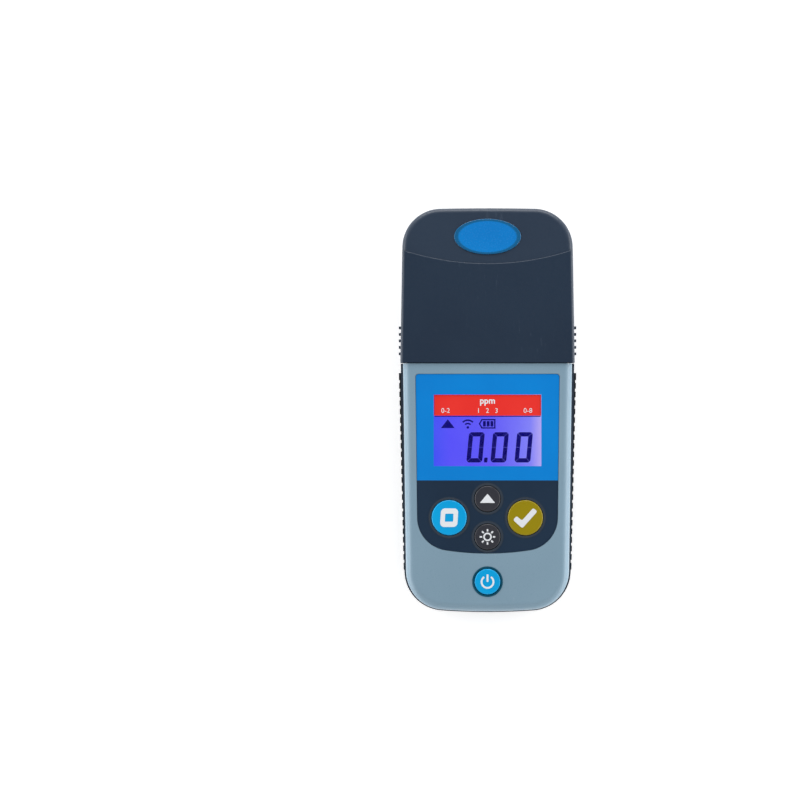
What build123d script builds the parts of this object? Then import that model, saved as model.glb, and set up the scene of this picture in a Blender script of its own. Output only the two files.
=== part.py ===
from build123d import *
import math
import os

# A pocket colorimeter lying on its back: X is across, +Y points to the end that
# the instrument cap covers, +Z is the face with the display and the keys.

# Overall size
length = 157.0
grip_width = 69.0
depth = 34.0

# How far a cutting shape reaches past what it cuts
overrun = 5.0

# Casing outline, seen from the front: its sides draw in towards the foot
casing_taper = 1.5
casing_corner_r = 15.6
casing_bottom_sag = 2.1
casing_wall = 2.2
back_edge_r = 6.0

# Parting line of the two casing halves, level at the neck, falling to the foot
parting_z = 20.0
parting_low_z = 10.0

# Front half of the casing
face_drop = 0.6
front_inset = 0.5
front_wall = 2.0
front_draft = 1.5
front_edge_r = 3.0
front_overrun = 2.0

# Instrument cap
cap_length = 59.8
cap_taper = 1.0
cap_corner_r = 15.0
cap_top_sag = 0.6
cap_wall = 2.2
cap_end_wall = 2.4
cap_back_wall = 2.0
cap_face_edge_r = 1.3
cap_end_edge_r = 2.0
cap_back_depth = 17.0
cap_slip = 0.4
cap_gap = 0.3
crease_from_top = 21.5
crease_r = 105.0
crease_step = 0.4
crease_edge_r = 0.3
end_slope = 9.5
rib_count = 5
rib_pitch = 2.53
rib_from_mouth = 3.5
rib_width = 1.0
rib_height = 15.0
rib_z = 17.0
rib_clear = 0.1
rib_root = 1.2
badge_from_top = 11.1
badge_width = 25.9
badge_height = 14.0
badge_sunk = 0.5
badge_proud = 0.4
badge_gap = 0.1

# Neck under the cap, with the sample well
collar_height = 3.0
neck_wall = 2.0
neck_edge_r = 1.0
tongue_inset = 0.5
tongue_length = 4.4
well_from_top = 31.5
well_r = 12.9
well_wall = 1.6
well_floor = 1.8
well_clear = 0.3
collar_edge = 0.5

# Light path across the well
holder_board_gap = 1.3
holder_reach = 20.0
holder_width = 13.0
holder_height = 13.0
window_seat = 14.4
window_t = 0.8
aperture_r = 2.0
lamp_r = 2.5
detector_r = 4.0
filter_t = 2.0
optic_gap = 0.05
optic_board_t = 1.2
optic_flange_t = 0.9
optic_flange_rim = 0.5

# Label film, window and display
label_top_gap = 4.0
label_foot = 23.4
label_margin = 5.8
label_taper = 0.8
label_bottom_r = 105.0
label_corner_r = 12.9
label_top_r = 1.2
label_sunk = 0.5
label_t = 0.35
label_gap = 0.15
window_half = 20.8
window_drop = 8.0
window_key_gap = 7.6
window_plate_t = 1.05
window_lip = 1.2
window_step = 0.2
window_gap = 0.1
window_corner_r = 0.4
strip_height = 8.2
strip_t = 0.1
glass_half = 22.2
glass_margin = 1.2
glass_t = 2.0
glass_gap = 0.3
light_guide_rim = 0.4
light_guide_r = 1.0

# Keys: the rises are from the label's foot, and the power key's from the casing's
zero_key_x = -14.8
read_key_x = 14.6
key_row_rise = 13.9
up_key_rise = 21.2
light_key_rise = 6.5
power_key_rise = 12.6
big_key_r = 6.8
small_key_r = 5.0
key_proud = 0.35
key_gap = 0.25
key_flange = 0.8
key_flange_t = 1.0
key_flange_gap = 0.3
key_edge_r = 0.45
key_travel = 0.6
key_stop_gap = 0.1
emboss_width = 0.7
emboss_height = 0.15
power_ring_width = 0.65
power_ring_t = 1.2
power_ring_proud = 0.1

# Circuit board
board_t = 1.6
board_hang = 5.5
board_inset = 4.4
board_arm_gap = 2.1
board_arm_short = 13.7
board_clear = 0.7
post_r = 2.2
post_clear = 0.4
board_screw_r = 0.95
board_screw_head_r = 1.9
board_screw_head_t = 1.2
switch_side = 6.0
switch_height = 3.2
switch_button_r = 1.5

# Parts on the back of the board: the middle and the sides of each
chip_t = 1.4
processor = (4.0, -28.0, 10.0, 10.0)
supply_chip = (-10.0, -20.0, 6.0, 5.0)
crystal = (-12.0, -40.0, 5.0, 3.2)
tall_part_t = 3.0
cable_socket = (14.0, -42.0, 8.0, 6.0)
capacitor_place = (-20.0, -4.0)
capacitor_r = 3.2
radio_board = (8.0, 2.0, 18.0, 12.0)
radio_board_t = 0.8
radio_can = (6.0, 2.0, 12.0, 10.0)
radio_can_r = 0.8
radio_can_t = 1.8

# Casing screws
boss_r = 3.2
front_boss_r = 3.0
screw_r = 1.2
screw_head_r = 2.2
screw_head_t = 1.6
screw_bite = 6.0
screw_clear = 0.25
thread_clear = 0.05
shoulder_screw_inset = 5.7
shoulder_screw_drop = 8.9
foot_screw_inset = 10.2
foot_screw_rise = 12.5
neck_screw_inset = 10.1
neck_screw_drop = 6.7
neck_screw_cover = 2.4
body_screw_seat_z = 2.6

# Gasket between the casing halves
gasket_inset = 0.9
gasket_width = 1.0
gasket_t = 1.0

# Side grips
grip_proud = 0.8
grip_top_gap = 3.6
grip_foot = 16.5
grip_back_z = 6.0
grip_margin = 1.2
grip_sunk = 0.8
grip_low_proud = 0.3
grip_corner_r = 1.5
groove_count = 22
groove_width = 1.2
groove_depth = 0.3

# Battery bay for four AAA cells side by side
battery_r = 5.25
battery_length = 43.5
battery_nub = 1.0
battery_nub_r = 1.9
battery_count = 4
battery_pitch = 10.8
battery_gap = 0.3
battery_play = 0.1
bay_foot = 21.0
bay_wall = 1.5
contact_t = 0.4
contact_width = 8.0
spring_reach = 2.6
spring_width = 5.0
bay_side_gap = 0.3

# Battery door and its screw
door_z = 0.2
door_t = 1.8
door_overlap = 1.65
door_gap = 0.3
door_corner_r = 2.0
door_tab_half = 8.0
door_tab_reach = 9.4
door_gasket_t = 0.8
door_gasket_width = 1.0
door_gasket_inset = 0.35
thumb_groove_count = 4
thumb_groove_pitch = 3.0
thumb_groove_length = 18.0
thumb_groove_width = 1.4
thumb_drop = 8.0
door_screw_drop = 6.9
door_screw_r = 1.5
door_screw_head_r = 3.3
door_screw_head_t = 1.1
door_screw_length = 6.5
door_screw_slot = 1.0
insert_r = 2.3
insert_length = 6.0
insert_boss_r = 3.9

# Places that follow from the sizes above
top_y = length / 2
bottom_y = -length / 2
mouth_y = top_y - cap_length
shoulder_y = mouth_y - cap_gap
casing_half_top = grip_width / 2 - grip_proud
casing_half_low = casing_half_top - casing_taper
casing_low_y = bottom_y + casing_bottom_sag
cap_half_mouth = casing_half_top
cap_half_top = cap_half_mouth - cap_taper
crease_y = top_y - crease_from_top
badge_y = top_y - badge_from_top
rib_first_y = mouth_y + rib_from_mouth
grip_top_y = shoulder_y - grip_top_gap
grip_low_y = bottom_y + grip_foot

# Levels of the face and of the parting line
face_z = depth - face_drop
label_floor_z = face_z - label_sunk
label_front_z = label_floor_z + label_t
front_inner_z = label_floor_z - front_wall
parting_slope = (parting_z - parting_low_z) / (shoulder_y - bottom_y)

# Neck, light collar and sample well
neck_half = cap_half_mouth - cap_wall - cap_slip
neck_top_y = top_y - cap_end_wall - cap_slip
neck_back_z = cap_back_wall + cap_slip
neck_corner_r = cap_corner_r - cap_end_wall - cap_slip
neck_back_r = back_edge_r - cap_back_wall - cap_slip
cap_inner_z = depth - cap_wall
collar_top_z = cap_inner_z - cap_slip
neck_front_z = collar_top_z - collar_height
well_y = top_y - well_from_top
collar_length = 2 * (well_r + well_wall)
collar_top_y = well_y + collar_length / 2
tube_bottom_z = neck_back_z + neck_wall + well_clear
well_floor_z = tube_bottom_z + well_floor

# Keys: place and radius of each, seen from the front
label_low_y = bottom_y + label_foot
up_key_y = label_low_y + up_key_rise
zero_key = (zero_key_x, label_low_y + key_row_rise, big_key_r)
read_key = (read_key_x, label_low_y + key_row_rise, big_key_r)
up_key = (0.0, up_key_y, small_key_r)
light_key = (0.0, label_low_y + light_key_rise, small_key_r)
power_key = (0.0, bottom_y + power_key_rise, small_key_r)
film_key_places = [zero_key, read_key, up_key, light_key]
key_places = film_key_places + [power_key]
key_flange_top_z = front_inner_z - key_flange_gap
key_base_z = key_flange_top_z - key_flange_t
switch_top_z = key_base_z - key_travel - key_stop_gap

# Label film, with the window in the room that it leaves above the keys
label_top_y = shoulder_y - label_top_gap
label_half_top = casing_half_top - label_margin
label_half_low = label_half_top - label_taper
window_top_y = label_top_y - window_drop
window_low_y = up_key_y + small_key_r + window_key_gap
window_height = window_top_y - window_low_y
window_mid_y = (window_top_y + window_low_y) / 2
strip_low_y = window_top_y - strip_height
glass_top_z = front_inner_z - glass_gap
glass_low_y = window_low_y - glass_margin
glass_high_y = window_top_y + glass_margin

# Circuit boards and light path
board_top_z = front_inner_z - board_hang
board_z = board_top_z - board_t
board_arm_half = neck_half - neck_wall - board_arm_gap
board_arm_y = neck_top_y - board_arm_short
optical_z = board_z - holder_board_gap - holder_height / 2
optic_board_x = holder_reach + optic_flange_t + optic_gap

# Screws and posts, the same on both sides
shoulder_screw_x = casing_half_top - shoulder_screw_inset
shoulder_screw_y = shoulder_y - shoulder_screw_drop
foot_screw_x = casing_half_low - foot_screw_inset
foot_screw_y = bottom_y + foot_screw_rise
neck_screw_x = neck_half - neck_screw_inset
neck_screw_y = neck_top_y - neck_screw_drop
display_post_x = glass_half + light_guide_rim + post_clear + post_r
body_screw_places = [
    (-shoulder_screw_x, shoulder_screw_y),
    (shoulder_screw_x, shoulder_screw_y),
    (-foot_screw_x, foot_screw_y),
    (foot_screw_x, foot_screw_y),
]
neck_screw_places = [(-neck_screw_x, neck_screw_y), (neck_screw_x, neck_screw_y)]
post_places = [
    (-display_post_x, window_mid_y),
    (display_post_x, window_mid_y),
    (-foot_screw_x, label_low_y),
    (foot_screw_x, label_low_y),
]
body_screw_tip_z = parting_z + screw_bite
neck_screw_tip_z = neck_front_z - neck_screw_cover

# Battery bay, its door and the door's screw
bay_half = (battery_pitch * (battery_count - 1)) / 2 + battery_r + bay_side_gap
bay_length = battery_length + battery_nub + 2 * contact_t + spring_reach + battery_play
bay_low_y = bottom_y + bay_foot
bay_top_y = bay_low_y + bay_length
battery_z = door_z + door_t + battery_gap + battery_r
bay_roof_z = battery_z + battery_r + battery_gap
seat_z = door_z + door_t + door_gasket_t
door_screw_y = bay_low_y - door_screw_drop
thumb_y = bay_top_y - thumb_drop


def casing_half(y):
    """Half-width of the rear casing's side at a height y along the casing."""
    share = (shoulder_y - y) / (shoulder_y - casing_low_y)
    return casing_half_top + (casing_half_low - casing_half_top) * share


def body_plan(inset, end_y=shoulder_y):
    """Front outline of the casing below the neck, drawn in by inset."""
    low_y = casing_low_y + inset
    with BuildSketch() as plan:
        with BuildLine():
            Polyline(
                (casing_half_low - inset, low_y),
                (casing_half_top - inset, end_y),
                (-casing_half_top + inset, end_y),
                (-casing_half_low + inset, low_y),
            )
            ThreePointArc(
                (-casing_half_low + inset, low_y),
                (0, bottom_y + inset),
                (casing_half_low - inset, low_y),
            )
        make_face()
        fillet(plan.vertices().group_by(Axis.Y)[0], casing_corner_r - inset)
    return plan.sketch


def neck_plan(inset, low_y):
    """Front outline of the neck that the cap slides over."""
    high_y = neck_top_y - inset
    with BuildSketch() as plan:
        with Locations((0, (low_y + high_y) / 2)):
            Rectangle(2 * (neck_half - inset), high_y - low_y)
        fillet(plan.vertices().group_by(Axis.Y)[-1], neck_corner_r - inset)
    return plan.sketch


def cap_plan():
    """Front outline of the cap, with round shoulders at its closed end."""
    corner_y = top_y - cap_top_sag
    with BuildSketch() as plan:
        with BuildLine():
            Polyline(
                (-cap_half_top, corner_y),
                (-cap_half_mouth, mouth_y),
                (cap_half_mouth, mouth_y),
                (cap_half_top, corner_y),
            )
            ThreePointArc((cap_half_top, corner_y), (0, top_y), (-cap_half_top, corner_y))
        make_face()
        fillet(plan.vertices().group_by(Axis.Y)[-1], cap_corner_r)
    return plan.sketch


def label_plan(inset):
    """Outline of the label film: straight top, bowed foot with wide corners."""
    half_low = label_half_low - inset
    corner_y = label_low_y + label_half_low**2 / (2 * label_bottom_r) + inset
    with BuildSketch() as plan:
        with BuildLine():
            Polyline(
                (-half_low, corner_y),
                (-label_half_top + inset, label_top_y - inset),
                (label_half_top - inset, label_top_y - inset),
                (half_low, corner_y),
            )
            ThreePointArc((half_low, corner_y), (0, label_low_y + inset), (-half_low, corner_y))
        make_face()
        fillet(plan.vertices().group_by(Axis.Y)[0], label_corner_r - inset)
        fillet(plan.vertices().group_by(Axis.Y)[-1], label_top_r)
    return plan.sketch


def door_plan(grow):
    """Outline of the battery door with its screw tab, grown by grow."""
    half = bay_half + door_overlap + grow
    low_y = bay_low_y - door_overlap - grow
    high_y = bay_top_y + door_overlap + grow
    tab_low_y = bay_low_y - door_overlap - door_tab_reach - grow
    with BuildSketch() as plan:
        with Locations((0, (low_y + high_y) / 2)):
            Rectangle(2 * half, high_y - low_y)
        with Locations((0, (tab_low_y + low_y) / 2)):
            Rectangle(2 * (door_tab_half + grow), low_y - tab_low_y + 0.02)
        fillet(plan.vertices().group_by(Axis.Y)[0], door_corner_r + grow)
        fillet(plan.vertices().group_by(Axis.Y)[-1], door_corner_r + grow)
    return plan.sketch


def bay_plan(grow):
    """Rectangle of the battery bay, grown by grow on every side."""
    with BuildSketch() as plan:
        with Locations((0, (bay_low_y + bay_top_y) / 2)):
            Rectangle(2 * (bay_half + grow), bay_length + 2 * grow)
    return plan.sketch


def rounded_block(plan, low_z, high_z, edge_r, square_end):
    """A straight block over plan whose back edges are round except at one end."""
    with BuildPart() as block:
        with BuildSketch(Plane.XY.offset(low_z)):
            add(plan)
        extrude(amount=high_z - low_z)
        back_edges = block.faces().sort_by(Axis.Z)[0].edges().sort_by(Axis.Y)
        if square_end == "top":
            back_edges = back_edges[:-1]
        else:
            back_edges = back_edges[1:]
        fillet(back_edges, edge_r)
    return block.part


def above_parting(shift):
    """All that lies in front of the casing's parting line, moved by shift."""
    low_z = parting_low_z - overrun * parting_slope + shift
    high_z = depth + overrun
    with BuildPart() as region:
        with BuildSketch(Plane.YZ):
            with BuildLine():
                Polyline(
                    (bottom_y - overrun, low_z),
                    (shoulder_y, parting_z + shift),
                    (top_y + overrun, parting_z + shift),
                    (top_y + overrun, high_z),
                    (bottom_y - overrun, high_z),
                    close=True,
                )
            make_face()
        extrude(amount=grip_width, both=True)
    return region.part


def gasket_ring():
    """The seal's path: a band inside the outline of body and neck together."""
    outer = gasket_inset
    inner = gasket_inset + gasket_width
    neck_low_y = shoulder_y - 2 * casing_wall
    with BuildPart() as ring:
        with BuildSketch():
            add(body_plan(outer, shoulder_y - outer))
            add(neck_plan(outer, neck_low_y))
            add(body_plan(inner, shoulder_y - inner), mode=Mode.SUBTRACT)
            add(neck_plan(inner, neck_low_y), mode=Mode.SUBTRACT)
        extrude(amount=depth)
        add(above_parting(-gasket_t), mode=Mode.INTERSECT)
        add(above_parting(0), mode=Mode.SUBTRACT)
    return ring.part


def write_piece(builder, name):
    """Label a finished piece and write its STEP file."""
    builder.part.label = name
    export_step(builder.part, f"parts/{name}.step")


os.makedirs("parts", exist_ok=True)


# Side grips: ribbed rubber strips let into the rear casing, proud at the top
grip_outer_top = casing_half_top + grip_proud
grip_outer_low = casing_half(grip_low_y) + grip_low_proud


def grip_outer(y):
    """Distance of the grip's outer face from the middle plane at y."""
    share = (grip_top_y - y) / (grip_top_y - grip_low_y)
    return grip_outer_top + (grip_outer_low - grip_outer_top) * share


def grip_front_z(y):
    """Front edge of the grip, a margin behind the parting line."""
    return parting_z - (shoulder_y - y) * parting_slope - grip_margin


def make_grip(side):
    groove_pitch = (grip_top_y - grip_low_y) / (groove_count + 1)
    with BuildPart() as grip:
        with BuildSketch():
            with BuildLine():
                Polyline(
                    (side * (casing_half(grip_top_y) - grip_sunk), grip_top_y),
                    (side * grip_outer(grip_top_y), grip_top_y),
                    (side * grip_outer(grip_low_y), grip_low_y),
                    (side * (casing_half(grip_low_y) - grip_sunk), grip_low_y),
                    close=True,
                )
            make_face()
            for i in range(groove_count):
                groove_y = grip_top_y - (i + 1) * groove_pitch
                with Locations((side * grip_outer(groove_y), groove_y)):
                    Rectangle(2 * groove_depth, groove_width, mode=Mode.SUBTRACT)
        extrude(amount=depth)
        with BuildSketch(Plane.YZ) as side_view:
            with BuildLine():
                Polyline(
                    (grip_top_y, grip_back_z),
                    (grip_top_y, grip_front_z(grip_top_y)),
                    (grip_low_y, grip_front_z(grip_low_y)),
                    (grip_low_y, grip_back_z),
                    close=True,
                )
            make_face()
            fillet(side_view.vertices(), grip_corner_r)
        extrude(amount=grip_width, both=True, mode=Mode.INTERSECT)
    return grip


left_grip = make_grip(-1)
right_grip = make_grip(1)
write_piece(left_grip, "left_grip")
write_piece(right_grip, "right_grip")


# Casing gasket, a flat cord seal lying in the rear half's rim
with BuildPart() as housing_gasket:
    add(gasket_ring())
write_piece(housing_gasket, "housing_gasket")


# Rear half of the casing: tray, lower neck, battery bay and screw pillars
with BuildPart() as rear_housing:
    add(rounded_block(body_plan(0), 0, parting_z, back_edge_r, "top"))
    add(rounded_block(neck_plan(0, shoulder_y - casing_wall), neck_back_z, parting_z, neck_back_r, "low"))
    body_room = rounded_block(
        body_plan(casing_wall, shoulder_y - casing_wall),
        casing_wall,
        depth,
        back_edge_r - casing_wall,
        "top",
    )
    add(body_room, mode=Mode.SUBTRACT)
    neck_room = rounded_block(
        neck_plan(neck_wall, shoulder_y - 3 * casing_wall),
        neck_back_z + neck_wall,
        depth,
        neck_back_r - neck_wall,
        "low",
    )
    add(neck_room, mode=Mode.SUBTRACT)
    with BuildSketch(Plane.XY.offset(casing_wall)):
        with Locations(body_screw_places):
            Circle(boss_r)
    extrude(amount=parting_z - casing_wall)
    with BuildSketch(Plane.XY.offset(neck_back_z + thread_clear)):
        with Locations(neck_screw_places):
            Circle(boss_r)
    extrude(amount=parting_z - neck_back_z - thread_clear)
    add(above_parting(0), mode=Mode.SUBTRACT)
    with BuildSketch():
        add(door_plan(door_gap + bay_wall))
    extrude(amount=seat_z + bay_wall)
    with BuildSketch():
        add(bay_plan(bay_wall))
    extrude(amount=bay_roof_z + bay_wall)
    with BuildSketch(Plane.XY.offset(seat_z)):
        with Locations((0, door_screw_y)):
            Circle(insert_boss_r)
    extrude(amount=insert_length)
    with BuildSketch():
        add(bay_plan(0))
    extrude(amount=bay_roof_z, mode=Mode.SUBTRACT)
    with BuildSketch():
        add(door_plan(door_gap))
    extrude(amount=seat_z, mode=Mode.SUBTRACT)
    with BuildSketch():
        with Locations((0, door_screw_y)):
            Circle(insert_r + thread_clear)
    extrude(amount=seat_z + insert_length, mode=Mode.SUBTRACT)
    with BuildSketch():
        with Locations(body_screw_places + neck_screw_places):
            Circle(screw_r + screw_clear)
    extrude(amount=depth, mode=Mode.SUBTRACT)
    with BuildSketch():
        with Locations(body_screw_places):
            Circle(screw_head_r + screw_clear)
    extrude(amount=body_screw_seat_z, mode=Mode.SUBTRACT)
    with BuildSketch():
        with Locations(neck_screw_places):
            Circle(screw_head_r + screw_clear)
    extrude(amount=neck_back_z + neck_wall, mode=Mode.SUBTRACT)
    contact_slot_x = (battery_count - 1) / 2 * battery_pitch
    with BuildSketch(Plane.XY.offset(bay_roof_z)):
        with Locations((-contact_slot_x, bay_low_y + contact_t), (contact_slot_x, bay_low_y + contact_t)):
            Rectangle(contact_width / 2 + bay_side_gap, 2 * contact_t)
    extrude(amount=bay_wall, mode=Mode.SUBTRACT)
    add(gasket_ring(), mode=Mode.SUBTRACT)
    add(left_grip.part, mode=Mode.SUBTRACT)
    add(right_grip.part, mode=Mode.SUBTRACT)
write_piece(rear_housing, "rear_housing")


# Front half of the casing: drafted shell, soft front edge, display and key holes
front_base_z = parting_low_z - front_overrun
with BuildPart() as front_housing:
    with BuildSketch(Plane.XY.offset(front_base_z)):
        add(body_plan(front_inset, shoulder_y + front_wall))
    extrude(amount=face_z - front_base_z, taper=front_draft)
    with BuildSketch(Plane.XY.offset(front_base_z)):
        with Locations((0, shoulder_y + front_wall)):
            Rectangle(grip_width, 2 * front_wall)
    extrude(amount=depth, mode=Mode.SUBTRACT)
    rim = front_housing.faces().sort_by(Axis.Z)[-1].edges().sort_by(Axis.Y)
    fillet(rim[:-1], front_edge_r)
    with BuildSketch(Plane.XY.offset(front_base_z)):
        add(body_plan(front_inset + front_wall, shoulder_y - front_wall))
    extrude(amount=front_inner_z - front_base_z, taper=front_draft, mode=Mode.SUBTRACT)
    with BuildSketch(Plane.XY.offset(front_base_z)):
        with Locations((0, shoulder_y)):
            Rectangle(2 * (neck_half - tongue_inset + cap_slip), 4 * front_wall)
    extrude(amount=neck_front_z - front_base_z, mode=Mode.SUBTRACT)
    with BuildSketch(Plane.XY.offset(front_base_z)):
        with Locations(body_screw_places):
            Circle(front_boss_r)
    extrude(amount=front_inner_z - front_base_z)
    with BuildSketch(Plane.XY.offset(board_top_z)):
        with Locations(post_places):
            Circle(post_r)
    extrude(amount=front_inner_z - board_top_z)
    with BuildSketch(Plane.XY.offset(board_top_z)):
        with Locations(post_places):
            Circle(board_screw_r + thread_clear)
    extrude(amount=front_inner_z - board_top_z, mode=Mode.SUBTRACT)
    with BuildSketch(Plane.XY.offset(front_base_z)):
        with Locations(body_screw_places):
            Circle(screw_r + thread_clear)
    extrude(amount=body_screw_tip_z - front_base_z, mode=Mode.SUBTRACT)
    add(above_parting(0), mode=Mode.INTERSECT)
    with BuildSketch(Plane.XY.offset(label_floor_z)):
        add(label_plan(0))
    extrude(amount=depth, mode=Mode.SUBTRACT)
    with BuildSketch(Plane.XY.offset(label_floor_z - window_plate_t)):
        with Locations((0, window_mid_y)):
            Rectangle(2 * (window_half + window_lip), window_height + 2 * window_lip)
    extrude(amount=depth, mode=Mode.SUBTRACT)
    with BuildSketch(Plane.XY.offset(board_top_z)):
        with Locations((0, window_mid_y)):
            Rectangle(2 * (window_half + window_step), window_height + 2 * window_step)
    extrude(amount=depth, mode=Mode.SUBTRACT)
    for key_x, key_y, key_r in key_places:
        with BuildSketch(Plane.XY.offset(board_top_z)):
            with Locations((key_x, key_y)):
                Circle(key_r + key_gap)
        extrude(amount=depth, mode=Mode.SUBTRACT)
    with BuildSketch(Plane.XY.offset(face_z - power_ring_t)):
        with Locations(power_key[:2]):
            Circle(power_key[2] + key_gap + power_ring_width)
    extrude(amount=depth, mode=Mode.SUBTRACT)
write_piece(front_housing, "front_housing")


# Bezel ring round the power key, let into the face
with BuildPart() as power_key_ring:
    with BuildSketch(Plane.XY.offset(face_z - power_ring_t)):
        with Locations(power_key[:2]):
            Circle(power_key[2] + key_gap + power_ring_width)
            Circle(power_key[2] + key_gap, mode=Mode.SUBTRACT)
    extrude(amount=power_ring_t + power_ring_proud)
write_piece(power_key_ring, "power_key_ring")


# Cell compartment: roof of the neck, light collar, sample well and optic holders
with BuildPart() as cell_compartment:
    with BuildSketch(Plane.XY.offset(parting_z)):
        add(neck_plan(0, shoulder_y))
    extrude(amount=neck_front_z - parting_z)
    roof_edges = cell_compartment.faces().sort_by(Axis.Z)[-1].edges().sort_by(Axis.Y)
    fillet(roof_edges[1:], neck_edge_r)
    tongue_half = neck_half - tongue_inset
    with BuildSketch(Plane.XY.offset(parting_z)):
        with Locations((0, shoulder_y)):
            Rectangle(2 * tongue_half, 2 * tongue_length)
    extrude(amount=neck_front_z - parting_z)
    with BuildSketch(Plane.XY.offset(parting_z)):
        add(neck_plan(neck_wall, shoulder_y))
        with Locations((0, shoulder_y)):
            Rectangle(2 * (tongue_half - neck_wall), 2 * tongue_length + front_wall)
    extrude(amount=neck_front_z - neck_wall - parting_z, mode=Mode.SUBTRACT)
    with BuildSketch(Plane.XY.offset(neck_front_z - neck_edge_r)):
        with Locations((0, well_y)):
            Rectangle(2 * neck_half, collar_length)
    extrude(amount=collar_top_z - neck_front_z + neck_edge_r)
    chamfer(cell_compartment.faces().sort_by(Axis.Z)[-1].edges(), collar_edge)
    with BuildSketch(Plane.XY.offset(tube_bottom_z)):
        with Locations((0, well_y)):
            Circle(well_r + well_wall)
    extrude(amount=neck_front_z - tube_bottom_z)
    with BuildSketch(Plane.XY.offset(optical_z - holder_height / 2)):
        with Locations((0, well_y)):
            Rectangle(2 * holder_reach, holder_width)
    extrude(amount=holder_height)
    with BuildSketch(Plane.XY.offset(parting_z)):
        with Locations(neck_screw_places):
            Circle(front_boss_r)
    extrude(amount=neck_front_z - neck_wall - parting_z)
    with BuildSketch(Plane.XY.offset(parting_z)):
        with Locations(neck_screw_places):
            Circle(screw_r + thread_clear)
    extrude(amount=neck_screw_tip_z - parting_z, mode=Mode.SUBTRACT)
    with BuildSketch(Plane.XY.offset(well_floor_z)):
        with Locations((0, well_y)):
            Circle(well_r)
    extrude(amount=depth, mode=Mode.SUBTRACT)
    path_middle = Plane((0, well_y, optical_z), z_dir=(1, 0, 0))
    with BuildSketch(path_middle):
        Circle(aperture_r)
    extrude(amount=holder_reach, both=True, mode=Mode.SUBTRACT)
    with BuildSketch(path_middle.offset(-window_seat)):
        Circle(lamp_r + optic_gap)
    extrude(amount=-holder_reach, mode=Mode.SUBTRACT)
    with BuildSketch(path_middle.offset(window_seat)):
        Circle(detector_r + optic_gap)
    extrude(amount=holder_reach, mode=Mode.SUBTRACT)
write_piece(cell_compartment, "cell_compartment")


# Glass windows that seal the well from the lamp and from the detector
with BuildPart() as cell_windows:
    with BuildSketch(path_middle.offset(-window_seat)):
        Circle(lamp_r)
    extrude(amount=-window_t)
    with BuildSketch(path_middle.offset(window_seat)):
        Circle(detector_r)
    extrude(amount=window_t)
write_piece(cell_windows, "cell_windows")


# Lamp: a flanged diode with a round nose, pointing across the well
lamp_nose_x = window_seat + window_t + optic_gap
with BuildPart() as led_lamp:
    with BuildSketch(path_middle.offset(-optic_board_x)):
        Circle(lamp_r)
    extrude(amount=optic_board_x - lamp_nose_x)
    fillet(led_lamp.edges().sort_by(Axis.X)[-1], lamp_r * 0.9)
    with BuildSketch(path_middle.offset(-optic_board_x)):
        Circle(lamp_r + optic_flange_rim)
    extrude(amount=optic_flange_t)
write_piece(led_lamp, "led_lamp")


# Interference filter in front of the detector
filter_x = window_seat + window_t + optic_gap
with BuildPart() as interference_filter:
    with BuildSketch(path_middle.offset(filter_x)):
        Circle(detector_r)
    extrude(amount=filter_t)
write_piece(interference_filter, "interference_filter")


# Photodiode in its round can
detector_x = filter_x + filter_t + optic_gap
with BuildPart() as photodiode:
    with BuildSketch(path_middle.offset(detector_x)):
        Circle(detector_r)
    extrude(amount=optic_board_x - detector_x)
    with BuildSketch(path_middle.offset(optic_board_x)):
        Circle(detector_r + optic_flange_rim)
    extrude(amount=-optic_flange_t)
write_piece(photodiode, "photodiode")


def make_optic_board(side):
    """Small upright board behind the lamp or the detector."""
    low_z = optical_z - holder_height / 2
    high_z = board_z - well_clear
    with BuildPart() as board:
        with BuildSketch(Plane.XY.offset(low_z)):
            with Locations((side * (optic_board_x + optic_board_t / 2), well_y)):
                Rectangle(optic_board_t, holder_width)
        extrude(amount=high_z - low_z)
    return board


led_board = make_optic_board(-1)
detector_board = make_optic_board(1)
write_piece(led_board, "led_board")
write_piece(detector_board, "detector_board")


# Main circuit board, hung from posts under the face, with arms beside the well
with BuildPart() as main_board:
    with BuildSketch(Plane.XY.offset(board_z)):
        add(body_plan(board_inset, shoulder_y - tongue_length - board_clear))
        with Locations((0, board_arm_y / 2)):
            Rectangle(2 * board_arm_half, board_arm_y)
        with Locations((0, well_y)):
            Circle(well_r + well_wall + board_clear, mode=Mode.SUBTRACT)
        with Locations((0, well_y + board_arm_y / 2)):
            Rectangle(2 * (well_r + well_wall + board_clear), board_arm_y, mode=Mode.SUBTRACT)
        with Locations(body_screw_places):
            Circle(front_boss_r + board_clear, mode=Mode.SUBTRACT)
        with Locations(post_places):
            Circle(board_screw_r + screw_clear, mode=Mode.SUBTRACT)
    extrude(amount=board_t)
write_piece(main_board, "main_board")


# Parts soldered to the back of the board: processor, supply, crystal, socket
with BuildPart() as board_components:
    with BuildSketch(Plane.XY.offset(board_z)):
        for chip_x, chip_y, chip_width, chip_height in (processor, supply_chip, crystal):
            with Locations((chip_x, chip_y)):
                Rectangle(chip_width, chip_height)
    extrude(amount=-chip_t)
    with BuildSketch(Plane.XY.offset(board_z)):
        with Locations(cable_socket[:2]):
            Rectangle(*cable_socket[2:])
        with Locations(capacitor_place):
            Circle(capacitor_r)
    extrude(amount=-tall_part_t)
write_piece(board_components, "board_components")


# Radio module: a little board with a shield can
with BuildPart() as radio_module:
    with BuildSketch(Plane.XY.offset(board_z)):
        with Locations(radio_board[:2]):
            Rectangle(*radio_board[2:])
    extrude(amount=-radio_board_t)
    with BuildSketch(Plane.XY.offset(board_z - radio_board_t)):
        with Locations(radio_can[:2]):
            RectangleRounded(*radio_can[2:], radio_can_r)
    extrude(amount=-radio_can_t)
write_piece(radio_module, "radio_module")


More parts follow.
